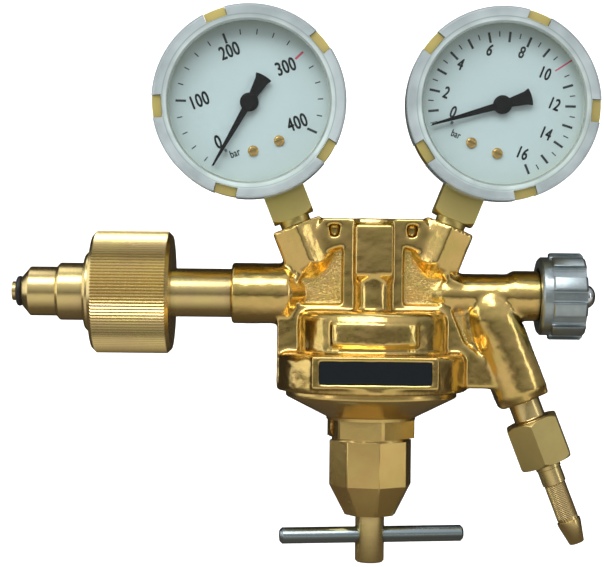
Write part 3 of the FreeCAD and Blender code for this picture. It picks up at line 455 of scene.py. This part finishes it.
def ink_words(made, middle, words, lean, lift):
    """Numbers and words of a dial, upright in the gauge's own frame."""
    for text, right, up, height in words:
        curve = bpy.data.curves.new("word", "FONT")
        curve.body = text
        curve.align_x = "CENTER"
        curve.align_y = "CENTER"
        curve.space_character = 1.08
        holder = bpy.data.objects.new("word", curve)
        bpy.context.scene.collection.objects.link(holder)
        graph = bpy.context.evaluated_depsgraph_get()
        mesh = bpy.data.meshes.new_from_object(holder.evaluated_get(graph))
        bpy.data.objects.remove(holder)
        size = height * MM / DIGIT_SHARE
        place = middle + Vector((right * MM, -lift, up * MM))
        stand = Matrix.Rotation(lean, 4, "Y") @ Matrix.Rotation(math.radians(90.0), 4, "X")
        mesh.transform(stand @ Matrix.Diagonal((NARROWED * size, size, size, 1.0)))
        for across, upward in ((0.0, 0.0), (-1.0, -1.0), (1.0, -1.0), (-1.0, 1.0), (1.0, 1.0)):
            shift = Vector((across, 0.0, upward)) * height * MM * BOLD
            copy = mesh.copy()
            copy.transform(Matrix.Translation(place + shift))
            made.from_mesh(copy)
            bpy.data.meshes.remove(copy)
        bpy.data.meshes.remove(mesh)
        bpy.data.curves.remove(curve)


# Materials of the pieces

def metals():
    """Settings that hold the colours of the metals."""
    return bpy.context.scene.reg_metals


def forged_brass():
    """Polished forging with sandy floors in its sunk panels."""
    material = metal("forged brass", metals().forged, metals().forged_drift, drift=0.8, patch=7.0,
                     roughness=0.17, spread=0.14, grain=0.9, bump=0.02, corner_shade=0.7)
    tree = material.node_tree
    shader = tree.nodes["Principled BSDF"]
    coords = put(tree, "TexCoord").outputs
    depth = math_node(tree, "ABSOLUTE", put(tree, "SeparateXYZ", {0: coords["Object"]}).outputs["Y"])
    facing = math_node(tree, "ABSOLUTE", put(tree, "SeparateXYZ", {0: coords["Normal"]}).outputs["Y"])
    off = math_node(tree, "ABSOLUTE", math_node(tree, "SUBTRACT", depth, PANEL_DEPTH * MM))
    near = put(tree, "MapRange", {0: off, 1: 0.35 * MM, 2: 0.6 * MM, 3: 1.0, 4: 0.0}).outputs[0]
    flat = put(tree, "MapRange", {0: facing, 1: 0.80, 2: 0.92}).outputs[0]
    sandy = math_node(tree, "MULTIPLY", near, flat)
    polished = shader.inputs["Roughness"].links[0].from_socket
    rough = math_node(tree, "ADD", polished, math_node(tree, "MULTIPLY", sandy, 0.08))
    tree.links.new(rough, shader.inputs["Roughness"])
    sand = use_group(tree, grain_group(), {"Size": 0.6, "Wave": 0.2})["Height"]
    smooth_normal = shader.inputs["Normal"].links[0].from_socket
    pits = put(tree, "Bump", {
        "Height": sand, "Strength": sandy, "Distance": 0.30 * MM, "Normal": smooth_normal})
    tree.links.new(pits.outputs["Normal"], shader.inputs["Normal"])
    return material


def turned_brass(part, origin, axis, color=None):
    """Turned brass with lathe marks round an axis; one material for each kind of part."""
    return metal("turned brass " + part, color or metals().turned, metals().gauge, drift=0.4, patch=12.0,
                 roughness=0.24, spread=0.12, bump=0.012,
                 turning={"Origin": origin, "Axis": axis, "Pitch": TURNING_PITCH})


def gauge_brass():
    """Drawn or milled brass of the gauges."""
    return metal("gauge brass", metals().gauge, metals().turned, drift=0.3, patch=10.0,
                 roughness=0.36, spread=0.10, grain=0.3, bump=0.01)


def steel(part, roughness=0.22):
    """Bright steel; one material for each kind of part."""
    return metal("steel " + part, metals().steel, metals().steel, drift=0.0, roughness=roughness,
                 spread=0.12, grain=0.5, bump=0.01)


def plain(name, color, roughness, **values):
    """Paint, rubber or plastic without a pattern of its own."""
    found = bpy.data.materials.get(name)
    if found:
        return found
    values = {"Base Color": tuple(color) + (1.0,), "Roughness": roughness, **values}
    material, tree, shader = new_material(name, values)
    height = use_group(tree, grain_group(), {"Size": 0.25, "Wave": 0.3})["Height"]
    relief = put(tree, "Bump", {"Height": height, "Strength": 1.0, "Distance": 0.006 * MM})
    tree.links.new(relief.outputs["Normal"], shader.inputs["Normal"])
    return material


def rubber():
    """Black rubber of rings and seals."""
    return plain("rubber", (0.01, 0.01, 0.011), 0.45)


def nylon():
    """Pale plastic of the valve pads."""
    return plain("nylon", (0.75, 0.73, 0.66), 0.4)


def copper():
    """Copper of washers and bourdon tubes."""
    return metal("copper", (0.80, 0.42, 0.28), (0.7, 0.35, 0.22))


def clear_window():
    """Clear plastic that lets the light through to the dial."""
    found = bpy.data.materials.get("clear window")
    if found:
        return found
    material, tree, shader = new_material("clear window", {
        "Base Color": (0.93, 0.98, 0.99, 1.0), "Roughness": 0.03, "IOR": 1.45, "Transmission Weight": 1.0})
    clear = put(tree, "BsdfTransparent", {"Color": (0.94, 0.98, 0.99, 1.0)})
    show_by_ray(tree, "Is Shadow Ray", shader, clear)
    return material


def rings_group():
    """Lighter and darker rings of a moulded rim, round an axis along Y: painted highlights and shade of its
    bevel, groove and edge, with darker patches at random.
    """
    found = bpy.data.node_groups.get("rings")
    if found:
        return found
    tree, given, end = new_group("rings", [("Origin", "Vector", None)], [("Color", "Color")])
    place = put(tree, "TexCoord").outputs["Object"]
    arm = put(tree, "VectorMath", {0: place, 1: given["Origin"]}, operation="SUBTRACT").outputs[0]
    level = put(tree, "VectorMath", {0: arm, 1: (1.0, 0.0, 1.0)}, operation="MULTIPLY").outputs[0]
    radius = put(tree, "VectorMath", {0: level}, operation="LENGTH").outputs["Value"]
    share = put(tree, "MapRange", {0: radius, 1: 26.4 * MM, 2: 32.0 * MM}).outputs[0]
    # Painted highlights and shade: bright and dark bands at the radii of the rim's bevel, groove and outer
    # edge
    rings = ramp(tree, share, [
        (0.0, (0.30, 0.36, 0.36)), (0.10, (0.34, 0.41, 0.41)), (0.15, (0.74, 0.84, 0.84)),
        (0.32, (0.62, 0.72, 0.72)), (0.36, (0.36, 0.44, 0.44)), (0.42, (0.66, 0.76, 0.77)),
        (0.90, (0.58, 0.66, 0.68)), (0.97, (0.22, 0.27, 0.27))])
    patch = put(tree, "TexNoise", {"Vector": place, "Scale": 90.0, "Detail": 2.0}).outputs["Fac"]
    shade = put(tree, "MapRange", {0: patch, 1: 0.35, 2: 0.65, 3: 0.55, 4: 0.0}).outputs[0]
    mixed = put(tree, "Mix", {0: shade, 6: rings, 7: (0.30, 0.36, 0.37, 1.0)}, data_type="RGBA")
    tree.links.new(mixed.outputs[2], end.inputs["Color"])
    return tree


def milky_rim(prefix, middle):
    """Moulded rim of the window, which scatters the light, coloured with painted highlights and shade in
    rings.
    """
    material, tree, shader = new_material(prefix + "window rim", {
        "Roughness": 0.15, "IOR": 1.45, "Transmission Weight": 0.35})
    rings = use_group(tree, rings_group(), {"Origin": middle})
    tree.links.new(rings["Color"], shader.inputs["Base Color"])
    return material


# Operators

class REG_OT_stage(Operator):
    """Add the floor, the backdrop, the lamps, the world and the camera"""
    bl_idname = "regulator.stage"
    bl_label = "Stage"

    def execute(self, context):
        settings = context.scene.reg_stage
        self.add_floor(settings)
        self.add_world(context)
        self.add_lamps(context, settings)
        self.add_camera(context, settings)
        return {"FINISHED"}

    def add_floor(self, settings):
        """Floor that bends up into the backdrop; mirrors see a painted reflection of it, darker towards the
        front and back, with painted shadow under and behind the object.
        """
        low = FLOOR_Z * MM
        bend = 0.4
        bend_y = 0.35
        steps = 12
        profile = [(-1.4, low), (bend_y, low)]
        for i in range(1, steps + 1):
            angle = math.radians(90.0 * i / steps)
            profile.append((bend_y + bend * math.sin(angle), low + bend * (1 - math.cos(angle))))
        profile.append((bend_y + bend, 1.6))
        made = bmesh.new()
        rows = [[made.verts.new((x, y, z)) for y, z in profile] for x in (-1.6, 1.8)]
        for i in range(len(profile) - 1):
            made.faces.new((rows[0][i], rows[1][i], rows[1][i + 1], rows[0][i + 1]))
        mesh = to_mesh(made, "floor")
        mesh.shade_smooth()
        floor = bpy.data.objects.new("floor", mesh)
        bpy.context.scene.collection.objects.link(floor)
        color = tuple(settings.floor_color) + (1.0,)
        material, tree, shader = new_material("floor", {
            "Base Color": color, "Roughness": 0.9, "Specular IOR Level": 0.1,
            "Emission Color": color, "Emission Strength": 0.55})
        ahead = put(tree, "SeparateXYZ", {0: put(tree, "TexCoord").outputs["Object"]}).outputs["Y"]
        reach = put(tree, "MapRange", {0: ahead, 1: -0.8, 2: 0.2}).outputs[0]
        # Painted reflection: glossy rays see this emission band instead of the floor, bright a little in
        # front of the object and dark as painted shadow under and behind it
        painted_floor_reflection = ramp(tree, reach, [
            (0.0, (0.06, 0.055, 0.05)), (0.35, (0.25, 0.24, 0.22)), (0.55, (0.66, 0.64, 0.60)),
            (0.70, (0.62, 0.59, 0.54)), (0.79, (0.12, 0.10, 0.08)), (1.0, (0.03, 0.025, 0.02))])
        show_by_ray(tree, "Is Glossy Ray", shader, put(tree, "Emission", {"Color": painted_floor_reflection}))
        mesh.materials.append(material)

    def add_world(self, context):
        """Sky of a studio: dark below, bright above, and brighter on the left and behind the camera."""
        world = bpy.data.worlds.new("studio")
        world.use_nodes = True
        tree = world.node_tree
        place = put(tree, "TexCoord").outputs["Generated"]
        way = put(tree, "SeparateXYZ", {0: place}).outputs
        spread = put(tree, "MapRange", {0: way["Z"], 1: -1.0, 2: 1.0}).outputs[0]
        sky = ramp(tree, spread, [
            (0.0, (0.05, 0.048, 0.045)), (0.40, (0.08, 0.078, 0.075)), (0.50, (0.20, 0.20, 0.19)),
            (0.62, (0.34, 0.34, 0.34)), (0.80, (0.60, 0.60, 0.61)), (1.0, (0.50, 0.51, 0.53))])
        side = put(tree, "MapRange", {0: way["X"], 1: -1.0, 2: 1.0, 3: 1.2, 4: 0.8}).outputs[0]
        front = put(tree, "MapRange", {0: way["Y"], 1: -0.6, 2: 0.6, 3: 1.2, 4: 0.3}).outputs[0]
        back = tree.nodes["Background"]
        tree.links.new(sky, back.inputs["Color"])
        tree.links.new(math_node(tree, "MULTIPLY", side, front), back.inputs["Strength"])
        context.scene.world = world

    def add_lamps(self, context, settings):
        """Area lamps: name, place, width, height, power, and whether metal mirrors them."""
        target = Vector((0.09, 0.0, 0.0))
        lamps = [
            ("key", (-0.10, -0.55, 0.60), 0.90, 0.32, 3.5, True),
            ("left strip", (-0.75, -0.50, 0.05), 0.16, 0.60, 0.6, True),
            ("left wall", (-0.90, 0.15, 0.10), 0.70, 0.60, 1.3, True),
            ("right strip", (0.85, -0.40, 0.08), 0.12, 0.60, 0.4, True),
            ("top", (0.10, 0.05, 0.80), 0.90, 0.35, 1.0, True),
            ("wash", (0.10, 0.40, 1.20), 1.40, 1.00, 5.0, False),
        ]
        for name, place, wide, high, power, mirrored in lamps:
            light = bpy.data.lights.new(name, "AREA")
            light.shape = "RECTANGLE"
            light.size = wide
            light.size_y = high
            light.energy = power * settings.light_power
            lamp = bpy.data.objects.new(name, light)
            lamp.location = place
            lamp.visible_glossy = mirrored
            lamp.rotation_euler = (target - Vector(place)).to_track_quat("-Z", "Y").to_euler()
            context.scene.collection.objects.link(lamp)

    def add_camera(self, context, settings):
        """Camera at the photo's place, with the photo's small roll."""
        data = bpy.data.cameras.new("camera")
        data.lens = CAMERA_LENS
        data.sensor_width = 36.0
        data.clip_start = 0.01
        data.clip_end = 10.0
        camera = bpy.data.objects.new("camera", data)
        camera.location = CAMERA_PLACE
        camera.rotation_euler = (math.radians(90.0), settings.roll, 0.0)
        context.scene.collection.objects.link(camera)
        context.scene.camera = camera
        context.scene.view_settings.view_transform = "Standard"


class REG_OT_forging(Operator):
    """Rebuild the forged body with soft edges and an uneven skin"""
    bl_idname = "regulator.forging"
    bl_label = "Forged body"

    def execute(self, context):
        settings = context.scene.reg_forging
        mesh = evaluated_copy(NODES["regulator_body"], [
            ("WELD", {"merge_threshold": WELDED * MM}),
            ("REMESH", {"mode": "VOXEL", "voxel_size": settings.cell, "use_smooth_shade": True}),
            ("SMOOTH", {"factor": 0.5, "iterations": 7}),
        ], self.ridge(-1.0), self.ridge(1.0))
        low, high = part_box("regulator_body")
        count = len(mesh.vertices)
        places = np.zeros(count * 3, np.float32)
        normals = np.zeros(count * 3, np.float32)
        mesh.vertices.foreach_get("co", places)
        mesh.vertex_normals.foreach_get("vector", normals)
        places = places.reshape(-1, 3)
        push = np.array([
            noise.noise(Vector(spot)) + 0.5 * noise.noise(Vector(spot) * 2.7)
            for spot in (places / (4.0 * MM)).tolist()])
        places += normals.reshape(-1, 3) * (push * settings.unevenness)[:, None]
        places = np.clip(places, np.array(low), np.array(high)).astype(np.float32)
        mesh.vertices.foreach_set("co", places.ravel())
        mesh.update()
        add_piece("forged_body", mesh, forged_brass(), "root", "forged_brass", "regulator_body")
        return {"FINISHED"}

    def ridge(self, side):
        """Round front or back of the outlet boss, whose nose runs up over the valve boss."""
        stations = [
            (-42.5, 0.3), (-41.5, 3.0), (-39.5, 6.0), (-37.2, 7.9), (-34.0, 9.1), (-30.0, 9.8), (-26.0, 10.0),
            (-3.0, 10.0), (-0.8, 8.7), (-0.6, 0.3)]
        mesh = lathe(stations, OUTLET_END, OUTLET_WAY, segments=64)
        for vertex in mesh.vertices:
            vertex.co.y = side * max(side * vertex.co.y, RIDGE_BACK * MM)
        return mesh


class REG_OT_label(Operator):
    """Dress the plate in the front of the flange"""
    bl_idname = "regulator.label"
    bl_label = "Label plate"

    def execute(self, context):
        black = plain("label black", (0.008, 0.011, 0.013), 0.25, **{"Specular IOR Level": 0.25})
        dress(black, "label_plate", bevel=0.15)
        return {"FINISHED"}


class REG_OT_inlet(Operator):
    """Dress the inlet stem with its ring, filter and washer, and the coupling nut"""
    bl_idname = "regulator.inlet"
    bl_label = "Inlet and coupling nut"

    def execute(self, context):
        brass = turned_brass("inlet", INLET_AXIS, ALONG_X)
        dress(brass, "inlet_stem", bevel=0.2)
        dress(self.knurled(), "coupling_nut")
        dress(brass, "coupling_slip_ring")
        dress(rubber(), "inlet_o_ring")
        bronze = metal("sintered bronze", (0.45, 0.26, 0.12), (0.35, 0.22, 0.1), roughness=0.55, grain=0.15,
                       bump=0.05)
        dress(bronze, "inlet_filter")
        dress(copper(), "stem_seal_washer")
        return {"FINISHED"}

    def knurled(self):
        """Turned brass with painted shade in the valleys of the knurl, found by their distance from the axis.
        """
        material = turned_brass("knurl", INLET_AXIS, ALONG_X)
        tree = material.node_tree
        shader = tree.nodes["Principled BSDF"]
        tone = shader.inputs["Base Color"].links[0].from_socket
        place = put(tree, "SeparateXYZ", {0: put(tree, "TexCoord").outputs["Object"]})
        squares = [math_node(tree, "MULTIPLY", place.outputs[axis], place.outputs[axis]) for axis in "YZ"]
        radius = math_node(tree, "SQRT", math_node(tree, "ADD", squares[0], squares[1]))
        low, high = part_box("coupling_nut")
        top = (high.z - low.z) / 2.0
        depth = put(tree, "MapRange", {0: radius, 1: top - 0.45 * MM, 2: top - 0.1 * MM, 3: 0.25, 4: 0.0})
        inside = math_node(tree, "GREATER_THAN", radius, top - 0.5 * MM)
        share = math_node(tree, "MULTIPLY", depth.outputs[0], inside)
        # Painted shade: the valleys of the knurl are mixed towards dark brown
        mixed = put(tree, "Mix", {0: share, 6: tone, 7: (0.12, 0.06, 0.015, 1.0)}, data_type="RGBA")
        tree.links.new(mixed.outputs[2], shader.inputs["Base Color"])
        return material


class REG_OT_bonnet(Operator):
    """Dress the bonnet, the spring, the diaphragm and the valve below it"""
    bl_idname = "regulator.bonnet"
    bl_label = "Bonnet and inner valve"

    def execute(self, context):
        brass = turned_brass("bonnet", BODY_AXIS, ALONG_Z, color=metals().forged)
        dress(brass, "bonnet", bevel=0.25)
        dress(brass, "lower_spring_plate", "upper_spring_plate", "diaphragm_disc")
        dress(brass, "valve_nozzle", "valve_poppet")
        dress(steel("spring", 0.3), "range_spring", "poppet_spring", "valve_pin", "diaphragm_slip_washer")
        dress(rubber(), "diaphragm")
        dress(nylon(), "poppet_pad")
        return {"FINISHED"}


class REG_OT_adjuster(Operator):
    """Dress the adjusting screw and its cross bar"""
    bl_idname = "regulator.adjuster"
    bl_label = "Adjusting screw and bar"

    def execute(self, context):
        dress(turned_brass("screw", BODY_AXIS, ALONG_Z), "adjusting_screw", bevel=0.2)
        dress(steel("bar"), "tee_bar", bevel=0.2)
        return {"FINISHED"}


class REG_OT_shutoff(Operator):
    """Dress the outlet valve and its handwheel"""
    bl_idname = "regulator.shutoff"
    bl_label = "Outlet valve and handwheel"

    def execute(self, context):
        brass = turned_brass("inlet", INLET_AXIS, ALONG_X)
        dress(brass, "shutoff_gland", "shutoff_disc", "shutoff_spindle", bevel=0.15)
        dress(rubber(), "shutoff_packing")
        dress(nylon(), "shutoff_seat_pad")
        wheel = metal("cast wheel", metals().wheel, (0.55, 0.62, 0.63), drift=0.6, patch=4.0,
                      roughness=0.34, spread=0.25, grain=0.7, bump=0.03)
        dress(wheel, "shutoff_handwheel", bevel=0.3)
        chrome = metal("chrome", (0.80, 0.85, 0.87), (0.7, 0.75, 0.78), roughness=0.07, spread=0.04)
        dress(chrome, "handwheel_cap")
        return {"FINISHED"}


class REG_OT_outlet(Operator):
    """Dress the outlet's neck and union nut, and turn the hose nipple"""
    bl_idname = "regulator.outlet"
    bl_label = "Outlet and hose nipple"

    def execute(self, context):
        brass = turned_brass("outlet", OUTLET_END, OUTLET_WAY)
        dress(brass, "outlet_adapter", bevel=0.2)
        nut_brass = metal("nut brass", (0.66, 0.52, 0.20), (0.72, 0.60, 0.24), roughness=0.38, grain=0.4,
                          bump=0.01)
        dress(nut_brass, "hose_union_nut", bevel=0.2)
        mesh = self.nipple(context.scene.reg_nipple)
        add_piece("ridged_nipple", mesh, brass, "root", "turned_brass", "hose_nipple")
        return {"FINISHED"}

    def nipple(self, settings):
        """Hose nipple with its bore and a ridged grip; distances run from the outlet's end, in mm."""
        cone = 14.65
        nut = 22.4
        grip = nut + 7.5
        grip_len = 12.0
        rows = 120
        stations = [
            (cone - 3.0, 1.6), (cone - 3.0, 2.1), (cone, 4.8), (cone, 6.15), (nut - 3.0, 6.15),
            (nut - 3.0, 4.3), (nut + 1.8, 4.3), (nut + 2.0, 4.05), (nut + 7.2, 4.05), (grip, 3.6)]
        stations += [(grip + grip_len * i / rows, 3.55) for i in range(1, rows + 1)]
        stations += [
            (nut + 20.6, 3.55), (nut + 20.7, 4.0), (nut + 21.8, 4.0), (nut + 28.6, 2.6),
            (nut + 28.8, 2.4), (nut + 28.8, 1.6)]
        mesh = lathe(stations, OUTLET_END, OUTLET_WAY, segments=144)
        turn = ALONG_Z.rotation_difference(OUTLET_WAY).to_matrix()
        for vertex in mesh.vertices:
            local = turn.transposed() @ (vertex.co - OUTLET_END)
            along = local.z / MM
            if grip < along <= grip + grip_len and local.xy.length > 3.0 * MM:
                twist = 2.0 * math.pi * (along - grip) * MM / settings.ridge_lead
                wave = math.cos(settings.ridges * math.atan2(local.y, local.x) + twist)
                push = local.xy.normalized() * (wave * settings.ridge_height / 2.0)
                vertex.co += turn @ Vector((push.x, push.y, 0.0))
        return mesh


class REG_OT_gauges(Operator):
    """Dress the cases, windows, sockets, pointers and works of both gauges"""
    bl_idname = "regulator.gauges"
    bl_label = "Gauges"

    def execute(self, context):
        black = plain("pointer black", (0.003, 0.003, 0.003), 0.5, **{"Specular IOR Level": 0.1})
        dial = plain("dial enamel", context.scene.reg_dial.dial_color, 0.45)
        screw_brass = metal("screw brass", (0.85, 0.55, 0.18), (0.8, 0.5, 0.2), roughness=0.25)
        for prefix in ("high_gauge_", "low_gauge_"):
            dress(gauge_brass(), prefix + "socket", bevel=0.3)
            dress(gauge_brass(), prefix + "case", prefix + "movement_frame", prefix + "sector_gear",
                  prefix + "link", prefix + "tube_tip")
            dress(steel("pin"), prefix + "stop_pin")
            dress(copper(), prefix + "seal_washer", prefix + "bourdon_tube")
            dress(screw_brass, prefix + "dial_screws", bevel=0.1)
            dress(dial, prefix + "dial")
            dress(black, prefix + "pointer")
            dress(rubber(), prefix + "blowout_plug")
            dress(clear_window(), prefix + "window")
            self.rim(prefix)
        return {"FINISHED"}

    def rim(self, prefix):
        """Milky finish on every face of the window but its two flat panes."""
        mesh = NODES[prefix + "window"].data
        mesh.materials.append(milky_rim(prefix, gauge_centre(-1 if prefix == "high_gauge_" else 1)))
        for face in mesh.polygons:
            pane = abs(face.normal.y) > 0.9 and PANE_FRONT < face.center.y / MM < PANE_BACK
            face.material_index = 0 if pane else 1


class REG_OT_dials(Operator):
    """Print the scales and numbers on both dials"""
    bl_idname = "regulator.dials"
    bl_label = "Dial print"

    def execute(self, context):
        for dial in (HIGH_DIAL, LOW_DIAL):
            self.scale(context.scene.reg_dial, dial)
        return {"FINISHED"}

    def scale(self, settings, dial):
        """Lines, red mark and words of one dial, as two pieces of thin print."""
        middle = gauge_centre(dial["side"]) + Vector((0.0, DIAL_Y * MM, 0.0))
        lift = settings.ink_height
        outer = settings.outer_radius
        black = bmesh.new()
        red = bmesh.new()
        for i in range(1, dial["count"] + 1):
            angle = math.radians(dial["first"] - dial["step"] * i)
            if i == dial["red_at"]:
                reach = max(outer, dial["red_reach"] * MM)
                ink_bar(red, middle, angle, outer - settings.long_line, reach, dial["red_width"] * MM, lift)
            elif i % dial["long_every"] == 0:
                ink_bar(black, middle, angle, outer - settings.long_line, outer, LONG_WIDTH * MM, lift)
            elif i > dial["bare"]:
                ink_bar(black, middle, angle, outer - settings.short_line, outer, SHORT_WIDTH * MM, lift)
        for degrees in dial["zero_marks"]:
            angle = math.radians(degrees)
            ink_bar(black, middle, angle, outer - ZERO_LENGTH * MM, outer, ZERO_WIDTH * MM, lift)
        ink_words(black, middle, dial["words"], dial["side"] * GAUGE_LEAN, lift)
        ink = plain("dial ink", (0.02, 0.03, 0.03), 0.5)
        red_ink = plain("dial red", (0.75, 0.10, 0.16), 0.5)
        add_piece(dial["name"] + "_print", to_mesh(black, "print"), ink, "root", "pointer_black")
        add_piece(dial["name"] + "_red_mark", to_mesh(red, "red mark"), red_ink, "root", "pointer_black")


class REG_PT_panel(Panel):
    """Settings of the regulator, and a button for each step of the build"""
    bl_idname = "REG_PT_panel"
    bl_label = "Gas pressure regulator"
    bl_space_type = "VIEW_3D"
    bl_region_type = "UI"
    bl_category = "Regulator"

    def draw(self, context):
        layout = self.layout
        for settings in (context.scene.reg_stage, context.scene.reg_metals, context.scene.reg_forging,
                         context.scene.reg_dial, context.scene.reg_nipple):
            box = layout.box()
            for name in settings.bl_rna.properties.keys():
                if name not in ("rna_type", "name"):
                    box.prop(settings, name)
        for operator in OPERATORS:
            layout.operator(operator.bl_idname)


SETTINGS = {
    "reg_stage": REG_StageSettings,
    "reg_metals": REG_MetalSettings,
    "reg_forging": REG_ForgingSettings,
    "reg_dial": REG_DialSettings,
    "reg_nipple": REG_NippleSettings,
}
OPERATORS = [
    REG_OT_stage, REG_OT_forging, REG_OT_label, REG_OT_inlet, REG_OT_bonnet, REG_OT_adjuster,
    REG_OT_shutoff, REG_OT_outlet, REG_OT_gauges, REG_OT_dials,
]


def register():
    """Register the classes, and put the settings on the scene."""
    for kind in list(SETTINGS.values()) + OPERATORS + [REG_PT_panel]:
        bpy.utils.register_class(kind)
    for name, kind in SETTINGS.items():
        setattr(bpy.types.Scene, name, PointerProperty(type=kind))


def unregister():
    """Take the settings off the scene, and the classes out in reverse order."""
    for name in SETTINGS:
        delattr(bpy.types.Scene, name)
    for kind in reversed(list(SETTINGS.values()) + OPERATORS + [REG_PT_panel]):
        bpy.utils.unregister_class(kind)


def main():
    """Build the scene in order."""
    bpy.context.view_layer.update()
    register()
    for operator in OPERATORS:
        getattr(bpy.ops.regulator, operator.bl_idname.split(".")[1])()
    bpy.context.view_layer.update()


if __name__ == "__main__":
    main()
